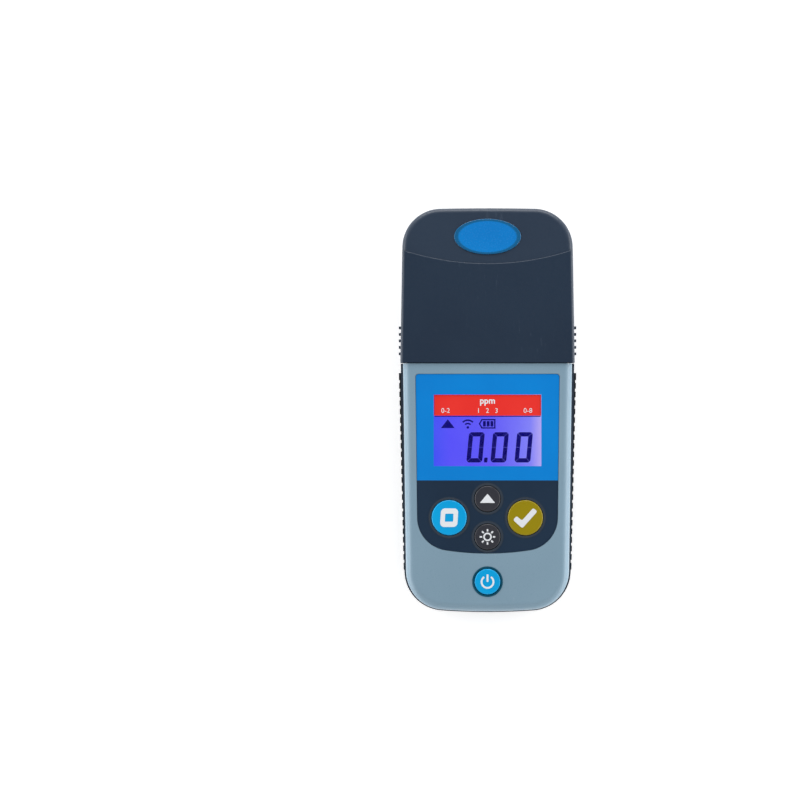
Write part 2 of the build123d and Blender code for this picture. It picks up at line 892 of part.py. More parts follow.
# Screws that hold the board to the posts
with BuildPart() as board_screws:
    with BuildSketch(Plane.XY.offset(board_z)):
        with Locations(post_places):
            Circle(board_screw_r)
    extrude(amount=front_inner_z - board_z - well_clear)
    with BuildSketch(Plane.XY.offset(board_z)):
        with Locations(post_places):
            Circle(board_screw_head_r)
    extrude(amount=-board_screw_head_t)
write_piece(board_screws, "board_screws")


# Tactile switches under the keys
with BuildPart() as key_switches:
    with BuildSketch(Plane.XY.offset(board_top_z)):
        for key_x, key_y, key_r in key_places:
            with Locations((key_x, key_y)):
                Rectangle(switch_side, switch_side)
    extrude(amount=switch_height)
    with BuildSketch(Plane.XY.offset(board_top_z)):
        for key_x, key_y, key_r in key_places:
            with Locations((key_x, key_y)):
                Circle(switch_button_r)
    extrude(amount=switch_top_z - board_top_z)
write_piece(key_switches, "key_switches")


# Display: light guide on the board, glass panel close under the window
with BuildPart() as lcd_frame:
    with BuildSketch(Plane.XY.offset(board_top_z)):
        with Locations((0, (glass_low_y + glass_high_y) / 2)):
            RectangleRounded(
                2 * (glass_half + light_guide_rim),
                glass_high_y - glass_low_y + 2 * light_guide_rim,
                light_guide_r,
            )
    extrude(amount=glass_top_z - glass_t - board_top_z)
write_piece(lcd_frame, "lcd_frame")

with BuildPart() as lcd_panel:
    with BuildSketch(Plane.XY.offset(glass_top_z - glass_t)):
        with Locations((0, (glass_low_y + glass_high_y) / 2)):
            Rectangle(2 * glass_half, glass_high_y - glass_low_y)
    extrude(amount=glass_t)
write_piece(lcd_panel, "lcd_panel")


# Clear display window: a plate in its pocket, held down by the label film
with BuildPart() as display_window:
    with BuildSketch(Plane.XY.offset(label_floor_z - window_plate_t)):
        with Locations((0, window_mid_y)):
            RectangleRounded(
                2 * (window_half + window_lip - window_gap),
                window_height + 2 * (window_lip - window_gap),
                window_corner_r,
            )
    extrude(amount=window_plate_t)
write_piece(display_window, "display_window")


# Coloured strip for the measuring ranges, on the window inside the film's opening
with BuildPart() as parameter_label:
    with BuildSketch(Plane.XY.offset(label_floor_z)):
        with Locations((0, (window_top_y - window_gap + strip_low_y) / 2)):
            Rectangle(
                2 * (window_half - window_gap),
                window_top_y - window_gap - strip_low_y,
            )
    extrude(amount=strip_t)
write_piece(parameter_label, "parameter_label")


# Label film with its embossed rings round the four keys
with BuildPart() as keypad_overlay:
    with BuildSketch(Plane.XY.offset(label_floor_z)):
        add(label_plan(label_gap))
        with Locations((0, window_mid_y)):
            Rectangle(2 * window_half, window_height, mode=Mode.SUBTRACT)
    extrude(amount=label_t)
    with BuildSketch(Plane.XY.offset(label_floor_z)):
        for key_x, key_y, key_r in film_key_places:
            with Locations((key_x, key_y)):
                Circle(key_r + key_gap + emboss_width)
    extrude(amount=label_t + emboss_height)
    with BuildSketch(Plane.XY.offset(label_floor_z)):
        for key_x, key_y, key_r in film_key_places:
            with Locations((key_x, key_y)):
                Circle(key_r + key_gap)
    extrude(amount=depth, mode=Mode.SUBTRACT)
write_piece(keypad_overlay, "keypad_overlay")


def make_key(place):
    """A round key with a soft edge and a flange that keeps it behind the face."""
    key_x, key_y, key_r = place
    key_top_z = label_front_z + key_proud
    with BuildPart() as key:
        with BuildSketch(Plane.XY.offset(key_base_z)):
            with Locations((key_x, key_y)):
                Circle(key_r)
        extrude(amount=key_top_z - key_base_z)
        fillet(key.edges().sort_by(Axis.Z)[-1], key_edge_r)
        with BuildSketch(Plane.XY.offset(key_base_z)):
            with Locations((key_x, key_y)):
                Circle(key_r + key_flange)
        extrude(amount=key_flange_t)
    return key


key_zero = make_key(zero_key)
key_read = make_key(read_key)
key_up = make_key(up_key)
key_light = make_key(light_key)
key_power = make_key(power_key)
write_piece(key_zero, "key_zero")
write_piece(key_read, "key_read")
write_piece(key_up, "key_up")
write_piece(key_light, "key_light")
write_piece(key_power, "key_power")


# Casing screws, driven from the back through the pillars
def screw_with_head(places, seat_z_here, tip_z):
    """Cap screws at places, heads on seat_z_here, tips towards the front."""
    with BuildPart() as screws:
        with BuildSketch(Plane.XY.offset(seat_z_here)):
            with Locations(places):
                Circle(screw_r)
        extrude(amount=tip_z - seat_z_here)
        with BuildSketch(Plane.XY.offset(seat_z_here)):
            with Locations(places):
                Circle(screw_head_r)
        extrude(amount=-screw_head_t)
        with BuildSketch(Plane.XY.offset(seat_z_here - screw_head_t)):
            with Locations(places):
                RegularPolygon(screw_r, 6)
        extrude(amount=screw_head_t / 2, mode=Mode.SUBTRACT)
    return screws.part


with BuildPart() as housing_screws:
    add(screw_with_head(body_screw_places, body_screw_seat_z, body_screw_tip_z - thread_clear))
    add(screw_with_head(neck_screw_places, neck_back_z + neck_wall, neck_screw_tip_z - thread_clear))
write_piece(housing_screws, "housing_screws")


# Four cells side by side, every second one turned round
def battery_x(i):
    return (i - (battery_count - 1) / 2) * battery_pitch


def battery_sign(i):
    """+1 where the cell's nub points to the neck, -1 where it points away."""
    return 1 if i % 2 == 0 else -1


with BuildPart() as batteries:
    for i in range(battery_count):
        sign = battery_sign(i)
        nub_wall_y = bay_top_y - contact_t if sign > 0 else bay_low_y + contact_t
        nub_tip_y = nub_wall_y - sign * optic_gap
        cell_axis = Plane((battery_x(i), nub_tip_y, battery_z), z_dir=(0, -sign, 0))
        with BuildSketch(cell_axis):
            Circle(battery_nub_r)
        extrude(amount=battery_nub + battery_length / 2)
        with BuildSketch(cell_axis.offset(battery_nub)):
            Circle(battery_r)
        extrude(amount=battery_length)
write_piece(batteries, "batteries")


# Contacts: flat plates at the nubs, bowed leaf springs at the cells' bases
with BuildPart() as battery_contacts:
    plate_low_z = battery_z - battery_r / 2
    plate_high_z = battery_z + battery_r / 2
    for i in range(battery_count):
        for wall_y, inward in ((bay_low_y, 1), (bay_top_y, -1)):
            is_output = wall_y == bay_low_y and i in (0, battery_count - 1)
            plate_top = board_z if is_output else plate_high_z
            with BuildSketch(Plane.XY.offset(plate_low_z)):
                with Locations((battery_x(i), wall_y + inward * contact_t / 2)):
                    Rectangle(contact_width / 2, contact_t)
            extrude(amount=plate_top - plate_low_z)
            if inward == battery_sign(i):
                foot_y = wall_y + inward * contact_t
                outer_y = foot_y + inward * spring_reach
                inner_y = outer_y - inward * contact_t
                with BuildSketch(Plane.YZ.offset(battery_x(i) - spring_width / 2)):
                    with BuildLine():
                        ThreePointArc((foot_y, plate_low_z), (outer_y, battery_z), (foot_y, plate_high_z))
                        Line((foot_y, plate_high_z), (foot_y, plate_high_z - contact_t))
                        ThreePointArc(
                            (foot_y, plate_high_z - contact_t),
                            (inner_y, battery_z),
                            (foot_y, plate_low_z + contact_t),
                        )
                        Line((foot_y, plate_low_z + contact_t), (foot_y, plate_low_z))
                    make_face()
                extrude(amount=spring_width)
write_piece(battery_contacts, "battery_contacts")


# Battery door with a screw tab and thumb grooves, and its flat gasket
with BuildPart() as battery_door:
    with BuildSketch(Plane.XY.offset(door_z)):
        add(door_plan(0))
    extrude(amount=door_t)
    with BuildSketch(Plane.XY.offset(door_z)):
        with Locations((0, door_screw_y)):
            Circle(door_screw_head_r + screw_clear)
    extrude(amount=door_screw_head_t, mode=Mode.SUBTRACT)
    with BuildSketch(Plane.XY.offset(door_z)):
        with Locations((0, door_screw_y)):
            Circle(door_screw_r + screw_clear)
    extrude(amount=door_t, mode=Mode.SUBTRACT)
    with BuildSketch(Plane.XY.offset(door_z)):
        with Locations((0, thumb_y)):
            with GridLocations(1, thumb_groove_pitch, 1, thumb_groove_count):
                SlotOverall(thumb_groove_length, thumb_groove_width)
    extrude(amount=door_t / 3, mode=Mode.SUBTRACT)
write_piece(battery_door, "battery_door")

with BuildPart() as door_gasket:
    with BuildSketch(Plane.XY.offset(door_z + door_t)) as ring:
        add(bay_plan(door_gasket_inset + door_gasket_width))
        fillet(ring.vertices(), door_gasket_width)
        add(bay_plan(door_gasket_inset), mode=Mode.SUBTRACT)
    extrude(amount=door_gasket_t)
write_piece(door_gasket, "door_gasket")


# Captive coin screw of the door and the brass insert that it turns into
with BuildPart() as door_screw:
    with BuildSketch(Plane.XY.offset(door_z + door_screw_head_t)):
        with Locations((0, door_screw_y)):
            Circle(door_screw_r)
    extrude(amount=door_screw_length)
    with BuildSketch(Plane.XY.offset(door_z + door_screw_head_t)):
        with Locations((0, door_screw_y)):
            Circle(door_screw_head_r)
    extrude(amount=-door_screw_head_t)
    with BuildSketch(Plane.XY.offset(door_z)):
        with Locations((0, door_screw_y)):
            Rectangle(2 * door_screw_head_r, door_screw_slot)
    extrude(amount=door_screw_head_t / 2, mode=Mode.SUBTRACT)
write_piece(door_screw, "door_screw")

with BuildPart() as screw_insert:
    with BuildSketch(Plane.XY.offset(seat_z)):
        with Locations((0, door_screw_y)):
            Circle(insert_r)
            Circle(door_screw_r + thread_clear, mode=Mode.SUBTRACT)
    extrude(amount=insert_length)
write_piece(screw_insert, "screw_insert")


# Cap, block between mouth and crease: flat face with softly broken side edges
crease_centre_y = crease_y + crease_r
with BuildPart() as cap_face_block:
    with BuildSketch(Plane.XY.offset(cap_back_depth)):
        add(cap_plan())
        with Locations((0, crease_centre_y)):
            Circle(crease_r, mode=Mode.SUBTRACT)
    extrude(amount=depth - cap_back_depth)
    face_edges = cap_face_block.faces().sort_by(Axis.Z)[-1].edges()
    fillet([edge for edge in face_edges if abs((edge @ 0.5).X) > cap_half_top / 2], cap_face_edge_r)
    with BuildSketch(Plane.YZ):
        with BuildLine():
            ThreePointArc(
                (crease_y - crease_edge_r, depth),
                (crease_y - crease_edge_r * (1 - math.sqrt(0.5)), depth - crease_edge_r * (1 - math.sqrt(0.5))),
                (crease_y, depth - crease_edge_r),
            )
            Polyline(
                (crease_y, depth - crease_edge_r),
                (crease_y + overrun, depth - crease_edge_r),
                (crease_y + overrun, depth + overrun),
                (crease_y - crease_edge_r, depth + overrun),
                (crease_y - crease_edge_r, depth),
            )
        make_face()
    revolve(axis=Axis((0, crease_centre_y, 0), (0, 0, 1)), mode=Mode.SUBTRACT)

# Cap, block beyond the crease: its face falls away from the crease as a cone
slope_rise = math.tan(math.radians(end_slope))
cone_high_z = depth - crease_step
cone_reach = crease_r / 2
with BuildPart() as cap_end_block:
    with BuildSketch(Plane.XY.offset(cap_back_depth)):
        add(cap_plan())
        with Locations((0, crease_centre_y)):
            Circle(crease_r, mode=Mode.INTERSECT)
    extrude(amount=depth - cap_back_depth)
    with BuildSketch(Plane.YZ):
        with BuildLine():
            Polyline(
                (crease_y - overrun, cone_high_z + overrun * slope_rise),
                (crease_y + cone_reach, cone_high_z - cone_reach * slope_rise),
                (crease_y + cone_reach, depth + overrun),
                (crease_y - overrun, depth + overrun),
                close=True,
            )
        make_face()
    revolve(axis=Axis((0, crease_centre_y, 0), (0, 0, 1)), mode=Mode.SUBTRACT)
    cone_face = cap_end_block.faces().filter_by(GeomType.CONE)[0]
    outline = [edge for edge in cone_face.edges() if (edge @ 0.5).Y > crease_y + 4 * cap_end_edge_r]
    fillet(outline, cap_end_edge_r)

# The whole cap: both blocks, side ribs, room for neck and collar, badge seat
badge_plane = Plane(
    (0, badge_y, cone_high_z - (badge_y - crease_y) * slope_rise),
    x_dir=(1, 0, 0),
    z_dir=(0, math.sin(math.radians(end_slope)), math.cos(math.radians(end_slope))),
)
with BuildPart() as instrument_cap:
    add(rounded_block(cap_plan(), 0, cap_back_depth, back_edge_r, "low"))
    add(cap_face_block.part)
    add(cap_end_block.part)
    rib_middle_y = rib_first_y + (rib_count - 1) / 2 * rib_pitch
    rib_reach = grip_width / 2 - rib_clear - cap_half_mouth + rib_root
    for side in (1, -1):
        with BuildSketch(Plane.YZ.offset(side * (cap_half_mouth - rib_root))):
            with Locations((rib_middle_y, rib_z)):
                with GridLocations(rib_pitch, 1, rib_count, 1):
                    SlotOverall(rib_height, rib_width, rotation=90)
        extrude(amount=side * rib_reach)
    neck_room = rounded_block(
        neck_plan(-cap_slip, mouth_y - cap_wall),
        cap_back_wall,
        neck_front_z + cap_slip,
        neck_back_r + cap_slip,
        "low",
    )
    add(neck_room, mode=Mode.SUBTRACT)
    collar_room_y = collar_top_y + cap_slip
    with BuildSketch(Plane.XY.offset(neck_front_z)):
        with Locations((0, (collar_room_y + mouth_y - cap_wall) / 2)):
            Rectangle(2 * (neck_half + cap_slip), collar_room_y - mouth_y + cap_wall)
    extrude(amount=cap_inner_z - neck_front_z, mode=Mode.SUBTRACT)
    with BuildSketch(badge_plane.offset(-badge_sunk)):
        Ellipse(badge_width / 2 + badge_gap, badge_height / 2 + badge_gap)
    extrude(amount=depth, mode=Mode.SUBTRACT)
write_piece(instrument_cap, "instrument_cap")


# Oval badge plate, bare, with a raised rim
with BuildPart() as cap_badge:
    with BuildSketch(badge_plane.offset(-badge_sunk)):
        Ellipse(badge_width / 2, badge_height / 2)
    extrude(amount=badge_sunk + badge_proud)
    top_rim = cap_badge.faces().sort_by(Axis.Z)[-1].edges()
    fillet(top_rim, badge_proud / 2)
write_piece(cap_badge, "cap_badge")
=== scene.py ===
import math

import bpy
from mathutils import Matrix, Vector


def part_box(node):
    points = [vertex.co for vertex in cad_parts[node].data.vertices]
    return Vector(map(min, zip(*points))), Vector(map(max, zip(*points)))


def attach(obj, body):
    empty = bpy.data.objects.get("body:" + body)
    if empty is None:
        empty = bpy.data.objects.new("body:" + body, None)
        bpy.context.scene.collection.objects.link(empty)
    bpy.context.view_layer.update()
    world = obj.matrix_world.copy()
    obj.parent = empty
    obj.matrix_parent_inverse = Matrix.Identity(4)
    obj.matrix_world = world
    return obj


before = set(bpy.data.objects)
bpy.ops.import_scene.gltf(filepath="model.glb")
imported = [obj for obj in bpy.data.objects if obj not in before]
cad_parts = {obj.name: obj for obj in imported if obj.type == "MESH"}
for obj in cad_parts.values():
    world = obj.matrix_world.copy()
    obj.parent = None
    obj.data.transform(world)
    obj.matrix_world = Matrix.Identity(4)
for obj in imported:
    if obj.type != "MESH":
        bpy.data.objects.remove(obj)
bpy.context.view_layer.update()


# Camera: a long lens straight above the meter, which lies on its back.
# It is turned a little, so that the meter stands right of the picture's middle.
# One millimetre at mid-depth of the casing is 2.567 pixels of the 800.
mm = 0.001
picture_side = 800
pixels_per_mm = 2.567
meter_middle_px = (487.5, 411.0)
sensor_width = 36.0
lens_length = 250.0
focus_height = 15 * mm
camera_distance = lens_length / sensor_width * picture_side / pixels_per_mm * mm
aim = Vector(
    (
        (picture_side / 2 - meter_middle_px[0]) / pixels_per_mm * mm,
        (meter_middle_px[1] - picture_side / 2) / pixels_per_mm * mm,
        focus_height,
    )
)
camera_place = Vector((0, 0, focus_height + camera_distance))
camera_data = bpy.data.cameras.new("photo_camera")
camera_data.sensor_width = sensor_width
camera_data.lens = lens_length
camera_data.clip_start = 0.05
camera_data.clip_end = 20
camera = bpy.data.objects.new("photo_camera", camera_data)
forward = (aim - camera_place).normalized()
rightward = forward.cross(Vector((0, 1, 0))).normalized()
upward = rightward.cross(forward)
camera_turn = Matrix((rightward, upward, -forward)).transposed()
camera.matrix_world = Matrix.Translation(camera_place) @ camera_turn.to_4x4()
bpy.context.scene.collection.objects.link(camera)
bpy.context.scene.camera = camera


# Studio: a white table in a pale room, dark straight overhead, so that flat faces stay matt.
# Low soft boxes at both sides and past the cap draw bright lines on the rounded edges.
# The table is clear from below, so that the meter's back can be looked at.
bpy.context.scene.view_settings.view_transform = "Standard"
bpy.context.scene.view_settings.look = "None"
room_strength = 0.9
room_steps = (
    (0.0, 1.1),
    (0.14, 0.6),
    (0.35, 0.6),
    (0.6, 0.8),
    (0.8, 0.74),
    (0.88, 0.3),
    (0.95, 0.06),
    (1.0, 0.03),
)
room_seen = (0.92, 0.93, 0.94, 1)
world = bpy.data.worlds.new("studio_room")
world.use_nodes = True
room = world.node_tree
room_place = room.nodes.new("ShaderNodeTexCoord")
room_axes = room.nodes.new("ShaderNodeSeparateXYZ")
room_ramp = room.nodes.new("ShaderNodeValToRGB")
room.links.new(room_place.outputs["Generated"], room_axes.inputs[0])
room.links.new(room_axes.outputs["Z"], room_ramp.inputs[0])
room_rays = room.nodes.new("ShaderNodeLightPath")
room_mix = room.nodes.new("ShaderNodeMix")
room_mix.data_type = "RGBA"
room_mix.inputs[7].default_value = room_seen
room.links.new(room_rays.outputs["Is Camera Ray"], room_mix.inputs[0])
room.links.new(room_ramp.outputs[0], room_mix.inputs[6])
room.links.new(room_mix.outputs[2], room.nodes["Background"].inputs["Color"])
room.nodes["Background"].inputs["Strength"].default_value = room_strength
while len(room_ramp.color_ramp.elements) < len(room_steps):
    room_ramp.color_ramp.elements.new(0.5)
for step, (height, share) in zip(room_ramp.color_ramp.elements, room_steps):
    step.position = height
    step.color = (share, share, share, 1)
bpy.context.scene.world = world

box_height = 0.18
box_width = 0.3
side_box_x = 0.55
side_box_length = 0.9
far_box_y = 0.6
far_box_length = 0.6
box_aim = Vector((0, 0, 0.02))


def soft_box(name, x, y, length, watts):
    """A long low lamp that points at the middle of the meter."""
    data = bpy.data.lights.new(name, "AREA")
    data.shape = "RECTANGLE"
    data.size = length
    data.size_y = box_width
    data.energy = watts
    lamp = bpy.data.objects.new(name, data)
    lamp.location = (x, y, box_height)
    heading = box_aim - Vector((x, y, box_height))
    lamp.rotation_euler = heading.to_track_quat("-Z", "Y").to_euler()
    lamp.visible_camera = False
    bpy.context.scene.collection.objects.link(lamp)


soft_box("right_box", side_box_x, 0.0, side_box_length, 2.9)
soft_box("left_box", -side_box_x, 0.0, side_box_length, 2.6)
soft_box("far_box", 0.0, far_box_y, far_box_length, 2.3)

table_half = 3.0
table_z = -0.0001
table_glow = 0.46
table_mesh = bpy.data.meshes.new("table_top")
table_mesh.from_pydata(
    [(x * table_half, y * table_half, table_z) for x, y in ((-1, -1), (1, -1), (1, 1), (-1, 1))],
    [],
    [(0, 1, 2, 3)],
)
table = bpy.data.objects.new("table_top", table_mesh)
bpy.context.scene.collection.objects.link(table)
table_paint = bpy.data.materials.new("table_white")
table_paint.use_nodes = True
table_nodes = table_paint.node_tree
table_shader = table_nodes.nodes["Principled BSDF"]
table_shader.inputs["Base Color"].default_value = (0.9, 0.9, 0.9, 1)
table_shader.inputs["Roughness"].default_value = 0.8
table_shader.inputs["Emission Color"].default_value = (1, 1, 1, 1)
table_shader.inputs["Emission Strength"].default_value = table_glow
table_side = table_nodes.nodes.new("ShaderNodeNewGeometry")
table_gone = table_nodes.nodes.new("ShaderNodeBsdfTransparent")
table_mix = table_nodes.nodes.new("ShaderNodeMixShader")
table_nodes.links.new(table_side.outputs["Backfacing"], table_mix.inputs[0])
table_nodes.links.new(table_shader.outputs[0], table_mix.inputs[1])
table_nodes.links.new(table_gone.outputs[0], table_mix.inputs[2])
table_nodes.links.new(table_mix.outputs[0], table_nodes.nodes["Material Output"].inputs["Surface"])
table_mesh.materials.append(table_paint)


# Rear casing: the dark tray that lies on the table, moulded in slate polycarbonate.
# Its surface has a fine spark-eroded grain, and its shade drifts a little in the bulk.
# The battery door is moulded in the same material and let in flush.


def shader_group(name, takes, gives):
    """An empty shader group with named sockets, and its two end nodes."""
    group = bpy.data.node_groups.new(name, "ShaderNodeTree")
    for socket_name, kind, value in takes:
        socket = group.interface.new_socket(name=socket_name, in_out="INPUT", socket_type=kind)
        socket.default_value = value
    for socket_name, kind in gives:
        group.interface.new_socket(name=socket_name, in_out="OUTPUT", socket_type=kind)
    start = group.nodes.new("NodeGroupInput")
    end = group.nodes.new("NodeGroupOutput")
    return group, start, end


def add_node(tree, kind, **settings):
    """A new node with its settings; keys that name input sockets set their values."""
    made = tree.nodes.new(kind)
    for key, value in settings.items():
        if key in made.inputs:
            made.inputs[key].default_value = value
        else:
            setattr(made, key, value)
    return made


def mix_colours(tree, factor, first, second):
    """A colour mix; each argument is a socket or a plain value."""
    mix = add_node(tree, "ShaderNodeMix", data_type="RGBA")
    for socket, value in ((mix.inputs[0], factor), (mix.inputs[6], first), (mix.inputs[7], second)):
        if isinstance(value, bpy.types.NodeSocket):
            tree.links.new(value, socket)
        else:
            socket.default_value = value
    return mix.outputs[2]


def map_range(tree, value, low, high, to_low=0.0, to_high=1.0, smooth=False):
    """A clamped remap of a float socket."""
    remap = add_node(tree, "ShaderNodeMapRange")
    remap.interpolation_type = "SMOOTHSTEP" if smooth else "LINEAR"
    tree.links.new(value, remap.inputs["Value"])
    ends = (("From Min", low), ("From Max", high), ("To Min", to_low), ("To Max", to_high))
    for socket_name, number in ends:
        remap.inputs[socket_name].default_value = number
    return remap.outputs["Result"]


def arithmetic(tree, operation, first, second=0.0):
    """A math node; each argument is a socket or a number."""
    node = add_node(tree, "ShaderNodeMath", operation=operation)
    for socket, value in zip(node.inputs, (first, second)):
        if isinstance(value, bpy.types.NodeSocket):
            tree.links.new(value, socket)
        else:
            socket.default_value = value
    return node.outputs[0]


noise_low = 0.3
noise_high = 0.7
grain_group, grain_in, grain_out = shader_group(
    "moulded_grain",
    [
        ("Colour", "NodeSocketColor", (0.5, 0.5, 0.5, 1)),
        ("Drift colour", "NodeSocketColor", (0.4, 0.4, 0.4, 1)),
        ("Drift", "NodeSocketFloat", 0.3),
        ("Roughness", "NodeSocketFloat", 0.5),
        ("Grain per metre", "NodeSocketFloat", 3000.0),
    ],
    [
        ("Colour", "NodeSocketColor"),
        ("Roughness", "NodeSocketFloat"),
        ("Height", "NodeSocketFloat"),
    ],
)
grain_place = add_node(grain_group, "ShaderNodeTexCoord")
grain_fine = add_node(grain_group, "ShaderNodeTexNoise", Detail=2.0, Roughness=0.55)
grain_group.links.new(grain_place.outputs["Object"], grain_fine.inputs["Vector"])
grain_group.links.new(grain_in.outputs["Grain per metre"], grain_fine.inputs["Scale"])
drift_per_metre = 28.0
grain_broad = add_node(grain_group, "ShaderNodeTexNoise", Scale=drift_per_metre, Detail=3.0)
grain_group.links.new(grain_place.outputs["Object"], grain_broad.inputs["Vector"])
drift_mask = map_range(grain_group, grain_broad.outputs[0], 0.35, 0.65, smooth=True)
drift_amount = arithmetic(grain_group, "MULTIPLY", drift_mask, grain_in.outputs["Drift"])
grain_group.links.new(
    mix_colours(grain_group, drift_amount, grain_in.outputs["Colour"], grain_in.outputs["Drift colour"]),
    grain_out.inputs["Colour"],
)
rough_swing = 0.06
rough_shift = map_range(
    grain_group,
    grain_fine.outputs[0],
    noise_low,
    noise_high,
    -rough_swing,
    rough_swing,
)
grain_group.links.new(
    arithmetic(grain_group, "ADD", grain_in.outputs["Roughness"], rough_shift),
    grain_out.inputs["Roughness"],
)
grain_group.links.new(grain_fine.outputs[0], grain_out.inputs["Height"])

# Handling marks: short pale rubs where the meter slides on a bench or in its case.
rub_group, rub_in, rub_out = shader_group(
    "bench_rubs",
    [
        ("Colour", "NodeSocketColor", (0.5, 0.5, 0.5, 1)),
        ("Rub colour", "NodeSocketColor", (0.6, 0.6, 0.6, 1)),
        ("Amount", "NodeSocketFloat", 0.3),
        ("Roughness", "NodeSocketFloat", 0.5),
    ],
    [("Colour", "NodeSocketColor"), ("Roughness", "NodeSocketFloat")],
)
rub_place = add_node(rub_group, "ShaderNodeTexCoord")
rub_stretch = add_node(rub_group, "ShaderNodeMapping")
rubs_per_metre = (900, 140, 500)
rub_lean = 0.5
rub_stretch.inputs["Scale"].default_value = rubs_per_metre
rub_stretch.inputs["Rotation"].default_value = (0, 0, rub_lean)
rub_group.links.new(rub_place.outputs["Object"], rub_stretch.inputs["Vector"])
rub_streaks = add_node(rub_group, "ShaderNodeTexNoise", Scale=1.0, Detail=4.0, Roughness=0.6)
rub_group.links.new(rub_stretch.outputs[0], rub_streaks.inputs["Vector"])
patches_per_metre = 45.0
rub_patches = add_node(rub_group, "ShaderNodeTexNoise", Scale=patches_per_metre, Detail=2.0)
rub_group.links.new(rub_place.outputs["Object"], rub_patches.inputs["Vector"])
streak_mask = map_range(rub_group, rub_streaks.outputs[0], 0.60, 0.74)
patch_mask = map_range(rub_group, rub_patches.outputs[0], 0.52, 0.68)
rub_mask = arithmetic(
    rub_group,
    "MULTIPLY",
    arithmetic(rub_group, "MULTIPLY", streak_mask, patch_mask),
    rub_in.outputs["Amount"],
)
rub_group.links.new(
    mix_colours(rub_group, rub_mask, rub_in.outputs["Colour"], rub_in.outputs["Rub colour"]),
    rub_out.inputs["Colour"],
)
rub_roughening = 0.15
rub_group.links.new(
    arithmetic(
        rub_group,
        "ADD",
        rub_in.outputs["Roughness"],
        arithmetic(rub_group, "MULTIPLY", rub_mask, rub_roughening),
    ),
    rub_out.inputs["Roughness"],
)


def srgb(red, green, blue):
    """A display colour of 0 to 255 as the linear colour that a shader takes."""
    linear = []
    for part in (red, green, blue):
        share = part / 255
        linear.append(share / 12.92 if share <= 0.04045 else ((share + 0.055) / 1.055) ** 2.4)
    return (*linear, 1.0)


def new_finish(name):
    """A material with its Principled shader, ready for its own nodes."""
    finish = bpy.data.materials.new(name)
    finish.use_nodes = True
    return finish, finish.node_tree, finish.node_tree.nodes["Principled BSDF"]


def place_group(tree, group, **values):
    """One use of a shader group, with its values by socket name."""
    used = tree.nodes.new("ShaderNodeGroup")
    used.node_tree = group
    for socket_name, value in values.items():
        used.inputs[socket_name.replace("_", " ")].default_value = value
    return used


def show_skin(tree, skin, shader):
    """Feeds a group's colour and roughness to the shader."""
    tree.links.new(skin.outputs["Colour"], shader.inputs["Base Color"])
    tree.links.new(skin.outputs["Roughness"], shader.inputs["Roughness"])


def add_bump(tree, height, shader, depth):
    """Relief of the given depth in metres, from a height socket."""
    bump = add_node(tree, "ShaderNodeBump", Distance=depth, Strength=1.0)
    tree.links.new(height, bump.inputs["Height"])
    tree.links.new(bump.outputs[0], shader.inputs["Normal"])


def moulded_plastic(name, colour, drift, roughness, grain, depth, rub, rub_colour, share=0.5):
    """Textured moulding: grain for its skin, bench rubs for its handling."""
    finish, tree, shader = new_finish(name)
    skin = place_group(
        tree,
        grain_group,
        Colour=colour,
        Drift_colour=drift,
        Drift=share,
        Roughness=roughness,
        Grain_per_metre=grain,
    )
    marks = place_group(tree, rub_group, Rub_colour=rub_colour, Amount=rub)
    tree.links.new(skin.outputs["Colour"], marks.inputs["Colour"])
    tree.links.new(skin.outputs["Roughness"], marks.inputs["Roughness"])
    show_skin(tree, marks, shader)
    add_bump(tree, skin.outputs["Height"], shader, depth)
    return finish


def dress(node_name, finish):
    """Gives a CAD node its finish."""
    node_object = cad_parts[node_name]
    node_object.data.materials.clear()
    node_object.data.materials.append(finish)


slate_tray = moulded_plastic(
    "slate_tray",
    srgb(38, 49, 63),
    srgb(44, 56, 71),
    roughness=0.5,
    grain=2600.0,
    depth=0.00003,
    rub=0.35,
    rub_colour=srgb(90, 102, 116),
)
dress("rear_housing", slate_tray)
dress("battery_door", slate_tray)


# Front casing: the light grey upper shell, screwed to the tray from behind.
# It is a smooth satin moulding with a soft front edge, and shows pale at its rims.
satin_grey = moulded_plastic(
    "satin_grey",
    srgb(132, 160, 178),
    srgb(138, 166, 184),
    roughness=0.32,
    grain=2800.0,
    depth=0.000006,
    rub=0.2,
    rub_colour=srgb(176, 192, 205),
)
dress("front_housing", satin_grey)


# Side grips: ribbed rubber strips bonded into pockets of the tray.
# Rubber is dull and almost black, with a little bloom that lightens it in places.
def even_finish(name, colour, drift, share, roughness, grain, depth=0.0, sheen=0.5):
    """A fine skin with a slow drift of shade, and no handling marks."""
    finish, tree, shader = new_finish(name)
    skin = place_group(
        tree,
        grain_group,
        Colour=colour,
        Drift_colour=drift,
        Drift=share,
        Roughness=roughness,
        Grain_per_metre=grain,
    )
    show_skin(tree, skin, shader)
    shader.inputs["Specular IOR Level"].default_value = sheen
    if depth > 0:
        add_bump(tree, skin.outputs["Height"], shader, depth)
    return finish


def dull_rubber(name, colour, bloom, grain, depth):
    """Rubber: matt, slightly dusty, with a soft cast skin."""
    return even_finish(
        name,
        colour,
        bloom,
        share=0.7,
        roughness=0.72,
        grain=grain,
        depth=depth,
        sheen=0.3,
    )


grip_rubber = dull_rubber("grip_rubber", srgb(30, 34, 40), srgb(46, 51, 58), grain=1800.0, depth=0.00005)
dress("left_grip", grip_rubber)
dress("right_grip", grip_rubber)


# Seals: the cord in the casing's rim and the flat ring under the battery door.
# Both are black silicone, cut or moulded and laid in by hand.
seal_rubber = dull_rubber("seal_rubber", srgb(24, 24, 26), srgb(34, 34, 36), grain=2500.0, depth=0.00002)
dress("housing_gasket", seal_rubber)
dress("door_gasket", seal_rubber)


